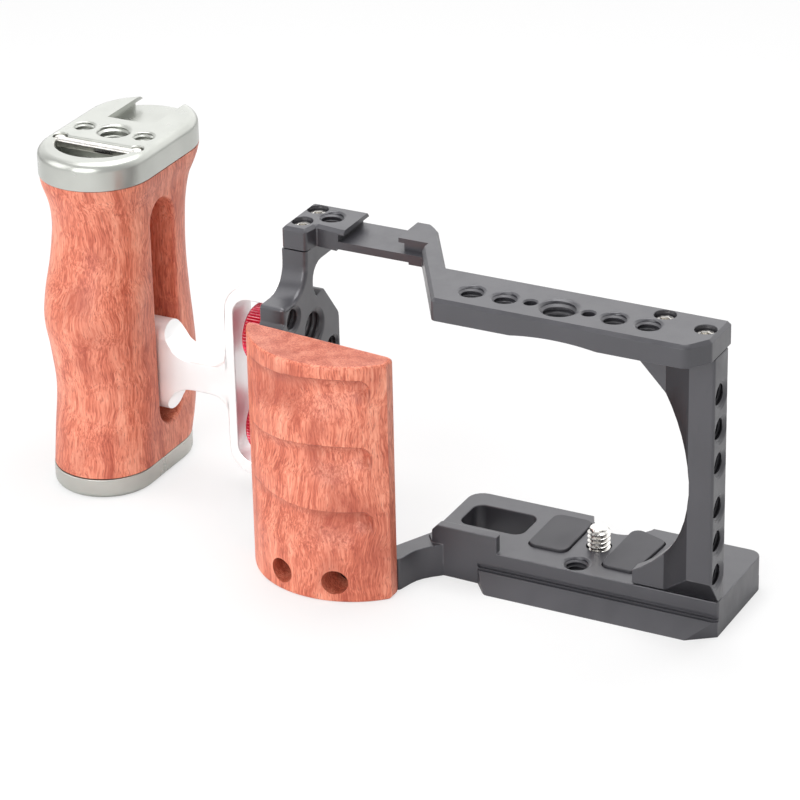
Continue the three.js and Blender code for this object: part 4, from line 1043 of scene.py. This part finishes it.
stud_low, stud_high = [drawn(corner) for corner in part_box("thumbwheel_stud_1")]
stud_at, length = (stud_low.x, STUD_Y, STUD_HEIGHTS[0]), stud_high.x - stud_low.x
upper_stud = threaded("threaded_stud_1", stud_at, X_WAY, length, FINE, (2.4, 2.98), pointed(length, 2.2))
painted(upper_stud, bright_steel)
lower_stud = lower_copy(upper_stud, "threaded_stud_2")
finished(upper_stud, "upper_stud", "bright_steel", "thumbwheel_stud_1")
finished(lower_stud, "lower_stud", "bright_steel", "thumbwheel_stud_2")

# %% [markdown]
# The rim of a thumbwheel is knurled straight across. The knurl is in the rings themselves: four points
# for each of 56 teeth. The crests are marked paler, partly because fingers rub the red off them first
# and partly as a painted highlight along each crest.

# %% Thumbwheels
TEETH, TOOTH = 56, 0.55
TOOTH_FORM = (0.0, 0.55, 1.0, 0.55)  # share of a tooth's height at its four points
WHEEL_RADIUS, BOSS_RADIUS, BOSS_EASE = 8.2, 5.4, 0.3
RIM_LEFT, RIM_RIGHT = -108.5, -97.5
WHEEL_EDGE = 0.75
EDGE_STEPS = (0.0, 0.25, 0.5, WHEEL_EDGE, 1.1)


def knurled_ring(x, cap):
    """A ring of teeth at a place along the axis, none of them higher than the cap."""
    middle = Vector((x, STUD_Y, STUD_HEIGHTS[0]))
    points = []
    for k, spoke in enumerate(spokes(X_WAY, 4 * TEETH)):
        radius = min(WHEEL_RADIUS - TOOTH * (1 - TOOTH_FORM[k % 4]), cap)
        points.append(middle + spoke * radius)
    return points


def on_crest(spot):
    return math.hypot(spot.y - STUD_Y, spot.z - STUD_HEIGHTS[0]) > WHEEL_RADIUS - 0.12


wheel_low, wheel_high = [drawn(corner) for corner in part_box("thumbwheel_1")]
wheel_profile = [
    (wheel_low.x, BOSS_RADIUS - BOSS_EASE), (wheel_low.x + BOSS_EASE, BOSS_RADIUS), (RIM_LEFT, BOSS_RADIUS)]
wheel_profile += [(RIM_LEFT + step, WHEEL_RADIUS - WHEEL_EDGE + step) for step in EDGE_STEPS]
wheel_profile += [(RIM_RIGHT - step, WHEEL_RADIUS - WHEEL_EDGE + step) for step in EDGE_STEPS[::-1]]
wheel_profile += [
    (RIM_RIGHT, BOSS_RADIUS), (wheel_high.x - BOSS_EASE, BOSS_RADIUS),
    (wheel_high.x, BOSS_RADIUS - BOSS_EASE)]
upper_wheel = rolled("knurled_wheel_1", [knurled_ring(x, cap) for x, cap in wheel_profile])
cut(upper_wheel, turned("bore", (RIM_LEFT + 0.3, *stud_at[1:]), X_WAY, [(3.25, 0), (3.25, 20)]))
# The crests are painted paler: partly rubbed bare, partly a painted highlight.
marked(upper_wheel, "worn", on_crest)
painted(upper_wheel, red_anodised)
lower_wheel = lower_copy(upper_wheel, "knurled_wheel_2")
finished(upper_wheel, "upper_thumbwheel", "red_anodised", "thumbwheel_1")
finished(lower_wheel, "lower_thumbwheel", "red_anodised", "thumbwheel_2")

# %% [markdown]
# The sliding arm is one length of extrusion, and the plate that clamps it is cut from bar. Both are
# right as built, so they are copied and eased. The pads are die-cut rubber with a soft edge.

# %% Arm, clamp plate and pads
def away_from_blend(spot):
    """Whether a place is clear of the hollow curves behind the arm's head, which are left as built."""
    return not -140 < spot.x < -133


for node, name, width, material, slot in (
        ("sliding_arm", "extruded_arm", 0.45, silver_anodised, "silver_anodised"),
        ("clamp_plate", "arm_clamp", 0.4, silver_anodised, "silver_anodised"),
        ("camera_pad_1", "rubber_pad_1", 0.3, rubber, "rubber"),
        ("camera_pad_2", "rubber_pad_2", 0.3, rubber, "rubber")):
    piece = copied(node, name)
    eased(piece, material, (width, away_from_blend))
    finished(piece, "cage", slot, node)

# %% [markdown]
# The front grip is a bow-fronted block of rosewood. A hollow for each finger was run into it with a
# cutter: its upper edge is a sharp step, its floor comes out slowly lower down, and it fades away at
# one end and turns down in a small curve at the other. The block is a grid rolled round its outline,
# with its columns closest on the bow, and each point is pushed in by the depth there. Under each step
# the wood is darkened by painted shade, and the end grain on top is darker with oil, which it drinks more
# of.

# %% Front grip
GRIP_LEFT, GRIP_RIGHT, GRIP_TALL, GRIP_EASE = -90.6, -45.2, 69.0, 1.1
GRIP_BACK_LEFT, GRIP_BACK_RIGHT, GRIP_FRONT = -8.4, -12.9, -26.6
HOLLOW_TOPS, HOLLOW_TALL, HOLLOW_DEEP, HOLLOW_STEP = (64.8, 45.6, 27.0), 13.6, 2.5, 1.8
# The last pair of these says where the painted shade under the steps fades in.
HOLLOW_FADE, HOLLOW_END, HOLLOW_CURL, STEP_SHADE_FADE = (-86.0, -77.5), -48.4, 3.2, (-86.5, -82.0)
END_GRAIN = 0.38  # how much more oil the end grain on top takes


def soft_step(value, low, high):
    """0 up to the low value, 1 from the high one on, and a soft step between them."""
    share = min(max((value - low) / (high - low), 0), 1)
    return share * share * (3 - 2 * share)


def circle_through(a, b, c):
    """Centre and radius of the circle through three points of a plan."""
    (ax, ay), (bx, by), (cx, cy) = a, b, c
    twice = 2 * (ax * (by - cy) + bx * (cy - ay) + cx * (ay - by))
    squares = [x * x + y * y for x, y in (a, b, c)]
    x = (squares[0] * (by - cy) + squares[1] * (cy - ay) + squares[2] * (ay - by)) / twice
    y = (squares[0] * (cx - bx) + squares[1] * (ax - cx) + squares[2] * (bx - ax)) / twice
    return (x, y), math.hypot(ax - x, ay - y)


bow_top = ((GRIP_LEFT + GRIP_RIGHT) / 2, GRIP_FRONT)
(bow_x, bow_y), bow_radius = circle_through((GRIP_LEFT, -10.0), bow_top, (GRIP_RIGHT, -17.5))


def bow_front(x):
    """Where the bow's front is, before it is carved."""
    return bow_y - math.sqrt(bow_radius ** 2 - (x - bow_x) ** 2)


def spread(start, end, count):
    """Evenly spaced values from the start on, without the end."""
    return [start + (end - start) * k / count for k in range(count)]


def grip_plan():
    """The outline seen from above, from the left end of the bow and back to it."""
    columns = spread(GRIP_LEFT, -87, 10) + spread(-87, -52, 110) + spread(-52, -46.4, 24)
    columns += spread(-46.4, GRIP_RIGHT, 5)
    points = [Vector((x, bow_front(x))) for x in columns]
    points += [Vector((GRIP_RIGHT, y)) for y in spread(-17.5, -14.5, 6)]
    corner = Vector((GRIP_RIGHT - 1.6, GRIP_BACK_RIGHT - 1.6))
    points += [corner + Vector((math.cos(a), math.sin(a))) * 1.6 for a in spread(0, math.radians(84), 6)]
    back_from, back_to = Vector((-46.9, -12.75)), Vector((GRIP_LEFT + 0.5, GRIP_BACK_LEFT - 0.03))
    points += [back_from.lerp(back_to, share) for share in spread(0, 1, 40)]
    points += [Vector((GRIP_LEFT + 0.12, GRIP_BACK_LEFT - 0.2)), Vector((GRIP_LEFT, GRIP_BACK_LEFT - 0.6))]
    return points


def in_hollow(number, x, z):
    """How far a place on the bow is inside the edge of a hollow, and how far below its top."""
    rise = 2.4 * soft_step(-x, 64, 90) if number == 2 else 0.5 * math.sin((x + 70) / 7)
    down = HOLLOW_TOPS[number] + rise - z
    before_end = HOLLOW_END - x
    inside = min(down, before_end)
    if down < HOLLOW_CURL and before_end < HOLLOW_CURL:
        inside = HOLLOW_CURL - math.hypot(HOLLOW_CURL - down, HOLLOW_CURL - before_end)
    return inside, down


def hollow(x, z):
    """How deep the carving is at a place on the bow, in millimetres."""
    deepest = 0
    for number in range(len(HOLLOW_TOPS)):
        inside, down = in_hollow(number, x, z)
        step = soft_step(inside, 0, 0.45)
        floor = HOLLOW_STEP + (HOLLOW_DEEP - HOLLOW_STEP) * soft_step(down, 0, 4)
        floor *= 1 - soft_step(down, 3.5, HOLLOW_TALL)
        floor *= 1 - soft_step(x, HOLLOW_END - 7, HOLLOW_END - 0.5) * soft_step(down, 1.5, 7.5)
        fade = soft_step(x, *HOLLOW_FADE)
        ripple = 1 + 0.12 * noise.noise(Vector((x * 0.16, z * 0.22, number)))
        deepest = max(deepest, step * floor * fade * ripple)
    return deepest


def painted_step_shade(x, z):
    """How much painted shade lies at a place. It is darkest under each step and thins out below."""
    most = 0
    for number in range(len(HOLLOW_TOPS)):
        inside, down = in_hollow(number, x, z)
        line = soft_step(inside, -0.2, 0.25) * (1 - soft_step(inside, 0.5, 1.3))
        shade = soft_step(inside, 0, 0.5) * (1 - soft_step(inside, 0.8, 5.0)) * 0.42
        fade = soft_step(x, *STEP_SHADE_FADE) * (1 - soft_step(down, 4.0, 8.0))
        most = max(most, max(line, shade) * fade)
    return most


def oil_and_shade_at(spot):
    """How dark a point of the block is: oil on the end grain on top, painted shade under the steps in front.
    """
    if spot.z > GRIP_TALL - 0.05:
        return END_GRAIN
    in_front = spot.y < bow_front(spot.x) + HOLLOW_DEEP + 1.5
    return painted_step_shade(spot.x, spot.z) if in_front else 0


end_rows = [0, 0.08, 0.25, 0.5, 0.8, GRIP_EASE]
heights = end_rows + spread(1.5, 67.5, 165) + [67.5] + [GRIP_TALL - z for z in reversed(end_rows)]
plan = grip_plan()
inward = []
for before, after in zip(plan[-1:] + plan[:-1], plan[1:] + plan[:1]):
    along = (after - before).normalized()
    inward.append(Vector((-along.y, along.x)))
grip_middle = Vector(((GRIP_LEFT + GRIP_RIGHT) / 2, (GRIP_FRONT + GRIP_BACK_RIGHT) / 2))
rings = []
for z in heights:
    from_end = min(z, GRIP_TALL - z)
    ease = 0
    if from_end < GRIP_EASE:
        ease = GRIP_EASE - math.sqrt(GRIP_EASE ** 2 - (GRIP_EASE - from_end) ** 2)
    shrink = Vector((1 - 2 * ease / (GRIP_RIGHT - GRIP_LEFT), 1 - 2 * ease / (GRIP_BACK_RIGHT - GRIP_FRONT)))
    points = []
    for spot, way in zip(plan, inward):
        on_bow = spot.x < -46 and spot.y < bow_front(spot.x) + 0.1
        at = spot + way * (hollow(spot.x, z) if on_bow else 0) - grip_middle
        points.append((grip_middle.x + at.x * shrink.x, grip_middle.y + at.y * shrink.y, z))
    rings.append(points + points[:1])
front_grip = rolled("carved_grip", rings)
GRIP_SCREW_XS = [middle_of(node).x for node in ("grip_screw_1", "grip_screw_2")]
GRIP_SCREW_Z, COUNTERBORE = 6.0, [(3.5, 0), (3.5, 14.2), (1.3, 14.2), (1.3, 30)]
cut(front_grip, *[drill((x, -30, GRIP_SCREW_Z), (0, 1, 0), COUNTERBORE) for x in GRIP_SCREW_XS])
# Oil on the end grain, and painted shade under each step.
marked(front_grip, "oiled", oil_and_shade_at)
painted(front_grip, rosewood_grip)
finished(front_grip, "cage", "rosewood", "front_grip")

# %% [markdown]
# The handle's section is an oval, and its front and back follow two waves that fit the fingers and the
# palm. The waves are read from a few measured heights with a smooth curve between them. A long slot
# runs up each flat side with a web left in the middle, and its mouth is rounded over.

# %% Handle of wood
HANDLE_X, HALF, CAP_HALF, HANDLE_TOP = -151.5, 14.8, 16.4, 100.0
WOOD_BOTTOM, WOOD_TOP = 6.2, 91.9
WAVE_FRONT, WAVE_BACK = (-2.0, 6.3), (56.5, 8.6)  # furthest place, and how deep the waists are
FRONT_WAVE = [
    (0, 0.1), (0.11, 0.32), (0.26, 0.63), (0.41, 0.33), (0.52, 0.0), (0.61, 0.22),
    (0.7, 0.72), (0.795, 1.06), (0.84, 1.08), (0.885, 0.99), (0.93, 0.79), (0.965, 0.62), (1, 0.53),
]
BACK_WAVE = [
    (0, 1.15), (0.08, 0.88), (0.17, 0.71), (0.28, 0.64), (0.37, 0.71), (0.52, 0.9),
    (0.66, 1.0), (0.79, 0.92), (0.86, 0.77), (0.91, 0.53), (0.95, 0.22), (1, 0.0),
]


def wave_at(wave, share):
    """A smooth curve through a wave's points."""
    after = max(1, next(k for k, (at, _) in enumerate(wave) if at >= share))
    p0, p1, p2, p3 = [wave[min(max(k, 0), len(wave) - 1)] for k in range(after - 2, after + 2)]
    span = p2[0] - p1[0]
    slopes = [(p2[1] - p0[1]) / (p2[0] - p0[0]) * span, (p3[1] - p1[1]) / (p3[0] - p1[0]) * span]
    t = (share - p1[0]) / span
    start = (2 * t ** 3 - 3 * t ** 2 + 1) * p1[1] + (t ** 3 - 2 * t ** 2 + t) * slopes[0]
    return start + (3 * t ** 2 - 2 * t ** 3) * p2[1] + (t ** 3 - t ** 2) * slopes[1]


def arc(middle, radius, start, sweep, steps):
    """The points of an arc in a plane, both its ends among them."""
    angles = [start + sweep * k / steps for k in range(steps + 1)]
    return [(middle[0] + radius * math.cos(angle), middle[1] + radius * math.sin(angle)) for angle in angles]


def oval(half, front, back, z, inset=0.0):
    """A ring with two flat sides and round ends."""
    points = []
    for middle, start in ((front + half, math.pi), (back - half, 0)):
        points += [(*spot, z) for spot in arc((HANDLE_X, middle), half - inset, start, math.pi, 28)]
    return points + points[:1]


rings = []
for k in range(81):
    share = k / 80
    half = HALF + (CAP_HALF - HALF) * soft_step(share, 0.9, 1)
    front = WAVE_FRONT[0] + WAVE_FRONT[1] * wave_at(FRONT_WAVE, share)
    back = WAVE_BACK[0] - WAVE_BACK[1] * wave_at(BACK_WAVE, share)
    rings.append(oval(half, front, back, WOOD_BOTTOM + (WOOD_TOP - WOOD_BOTTOM) * share))
handle_wood = rolled("carved_handle", rings)

# %% [markdown]
# The slot's cutter is a rolled solid too, and flares outside the wood, so the rounding of the slot's
# mouth comes from the cutter. Two wide cutters and a narrow one leave the web with its bolt slot.

# %% Slot of the handle
SLOT_Y, SLOT_WIDE, SLOT_LOW, SLOT_HIGH, WEB_HALF, BOLT_WIDE = 25.4, 12.0, 15.0, 83.0, 3.0, 6.4
MOUTH = 0.9


def slot_ring(x, radius, low=SLOT_LOW, high=SLOT_HIGH, wide=SLOT_WIDE):
    """The outline of a slot with round ends, larger or smaller than its width by what the radius says."""
    points = []
    for middle, start in ((high - wide / 2, 0), (low + wide / 2, math.pi)):
        points += [(x, *spot) for spot in arc((SLOT_Y, middle), radius, start, math.pi, 24)]
    return points + points[:1]


for side in (1, -1):
    face = HANDLE_X + side * HALF
    rings = [slot_ring(face + side * 3, SLOT_WIDE / 2 + MOUTH * 1.2)]
    for step in range(7):
        angle = math.radians(15 * step)
        depth = MOUTH * (1 - math.cos(angle))
        rings.append(slot_ring(face - side * depth, SLOT_WIDE / 2 + MOUTH * (1 - math.sin(angle))))
    rings.append(slot_ring(HANDLE_X + side * WEB_HALF, SLOT_WIDE / 2))
    cut(handle_wood, rolled("slot_cutter", rings))
inset = (SLOT_WIDE - BOLT_WIDE) / 2
bolt_slot = (BOLT_WIDE / 2, SLOT_LOW + inset, SLOT_HIGH - inset, BOLT_WIDE)
cut(handle_wood, rolled("bolt_slot_cutter", [slot_ring(HANDLE_X + x, *bolt_slot) for x in (-8, 8)]))
CAP_SCREW = middle_of("cap_screw")
BOTTOM_SCREWS = [middle_of(node) for node in ("bottom_cap_screw_1", "bottom_cap_screw_2")]
cut(handle_wood, drill((CAP_SCREW.x, CAP_SCREW.y, WOOD_TOP), DOWN, [(1.3, -1), (1.3, 9)]))
for at in BOTTOM_SCREWS:
    cut(handle_wood, drill((at.x, at.y, WOOD_BOTTOM), UP, [(1.3, -1), (1.3, 9)]))
painted(handle_wood, rosewood_handle)
finished(handle_wood, "handle", "rosewood", "handle_wood")

# %% [markdown]
# The top cap is milled from bar and blasted. Its rim is rounded by a quarter circle, which the rings
# follow. A D-shaped pocket in front holds a bar for a strap, with its ends milled round, and an
# accessory shoe runs in from the back. Three threads lie between them.

# %% Top cap
CAP_FRONT, CAP_BACK, CAP_UNDER, CAP_EASE = 1.0, 56.5, 92.1, 2.6
CAP_SHOE_FROM, CAP_SHOE_HALF, CAP_SHOE_MOUTH, CAP_SHOE_FLOOR, CAP_SHOE_LIP = 35.4, 9.3, 7.3, 96.7, 98.8


def eased_rings(half, front, back, low, high, low_ease, high_ease):
    """Rings of an oval block whose lower and upper rims are rounded."""
    angles = [math.radians(15 * k) for k in range(7)]
    rims = [(1 - math.sin(angle), 1 - math.cos(angle)) for angle in angles]
    profile = [(low + low_ease * along, low_ease * inset) for along, inset in reversed(rims)]
    profile += [(high - high_ease * along, high_ease * inset) for along, inset in rims]
    return [oval(half, front, back, z, inset) for z, inset in profile]


POCKET_Y, POCKET_RADIUS, POCKET_FLAT, POCKET_FLOOR = 19.5, 12.6, 18.9, 94.7
NOTCH_RADIUS, NOTCH_Y, NOTCH_XS = 2.1, 18.2, (-12.1, 12.1)
BAR_LOW = 97.2


def pocket_ring(z, grow):
    """The outline of the D-shaped pocket, a little larger at its mouth."""
    radius = POCKET_RADIUS + grow
    reach = math.asin((POCKET_FLAT + grow - POCKET_Y) / radius)
    round_front = arc((HANDLE_X, POCKET_Y), radius, math.pi - reach, math.pi + 2 * reach, 48)
    return [(*spot, z) for spot in round_front + round_front[:1]]


cap_rings = eased_rings(CAP_HALF, CAP_FRONT, CAP_BACK, CAP_UNDER, HANDLE_TOP, 0.15, CAP_EASE)
top_cap = rolled("milled_cap", cap_rings)
cut(top_cap, rolled("pocket_cutter", [
    pocket_ring(HANDLE_TOP + 1, 1.4), pocket_ring(HANDLE_TOP, 0.4), pocket_ring(HANDLE_TOP - 0.35, 0.05),
    pocket_ring(HANDLE_TOP - 0.5, 0), pocket_ring(POCKET_FLOOR, 0)]))
notch = [(NOTCH_RADIUS + 1.3, -1), (NOTCH_RADIUS + 0.3, 0), (NOTCH_RADIUS, 0.3)]
notch += [(NOTCH_RADIUS, HANDLE_TOP - BAR_LOW + 0.25)]
for x in NOTCH_XS:
    cut(top_cap, drill((HANDLE_X + x, NOTCH_Y, HANDLE_TOP), DOWN, notch))
for half, top_z in ((CAP_SHOE_HALF, CAP_SHOE_LIP), (CAP_SHOE_MOUTH, HANDLE_TOP + 2)):
    low = (HANDLE_X - half, CAP_SHOE_FROM, CAP_SHOE_FLOOR)
    cut(top_cap, block_cutter(low, (HANDLE_X + half, 60, top_z)))
for kind, x in (("cap_three_eighths", 0), ("cap_quarter", 9.5), ("cap_quarter", -9.5)):
    cut(top_cap, tap(kind, (HANDLE_X + x, 27, HANDLE_TOP), DOWN, 6.2, through=False))
cut(top_cap, drill((CAP_SCREW.x, CAP_SCREW.y, POCKET_FLOOR), DOWN, [(1.35, -1), (1.35, 3)]))
painted(top_cap, grey_anodised)
finished(top_cap, "handle", "grey_anodised", "handle_top_cap")

# %% [markdown]
# The bottom cap is the same section, rounded below, with two recessed screws. The strap bar is a flat
# bar with a round boss at each end that drops into the notches of the pocket.

# %% Bottom cap and strap bar
BOTTOM_BACK = 46.6
bottom_cap = rolled("turned_under_cap", eased_rings(HALF, -1.7, BOTTOM_BACK, 0.0, 5.9, 1.8, 0.2))
for at in BOTTOM_SCREWS:
    cut(bottom_cap, drill((at.x, at.y, 0), UP, [(2.9, -1), (2.9, 2.9), (1.3, 2.9), (1.3, 8)]))
painted(bottom_cap, grey_anodised)
finished(bottom_cap, "handle", "grey_anodised", "handle_bottom_cap")
BAR_MIDDLE, BAR_TOP, BAR_ROUND = 17.4, 99.7, 0.7


def bar_ring(x):
    """A rounded square across the strap bar."""
    half = (BAR_TOP - BAR_LOW) / 2
    points = []
    for corner in range(4):
        for step in range(5):
            angle = math.radians(90 * corner + 22.5 * step)
            turn = math.radians(90 * corner + 45)
            reach = (half - BAR_ROUND) * math.sqrt(2)
            y = reach * math.cos(turn) + BAR_ROUND * math.cos(angle)
            z = reach * math.sin(turn) + BAR_ROUND * math.sin(angle)
            points.append((x, BAR_MIDDLE + y * 1.2, BAR_LOW + half + z))
    return points + points[:1]


strap_bar = rolled("milled_strap_bar", [bar_ring(HANDLE_X + x) for x in (-12, 12)])
boss = [(0.6, 0), (1.2, 0.12), (1.65, 0.45), (1.85, 0.95), (1.85, BAR_TOP - BAR_LOW + 0.1)]
for x in NOTCH_XS:
    cut(strap_bar, drill((HANDLE_X + x, NOTCH_Y - 0.1, BAR_TOP + 0.15), DOWN, boss), operation="UNION")
painted(strap_bar, bright_steel)
finished(strap_bar, "handle", "bright_steel", "strap_bar")
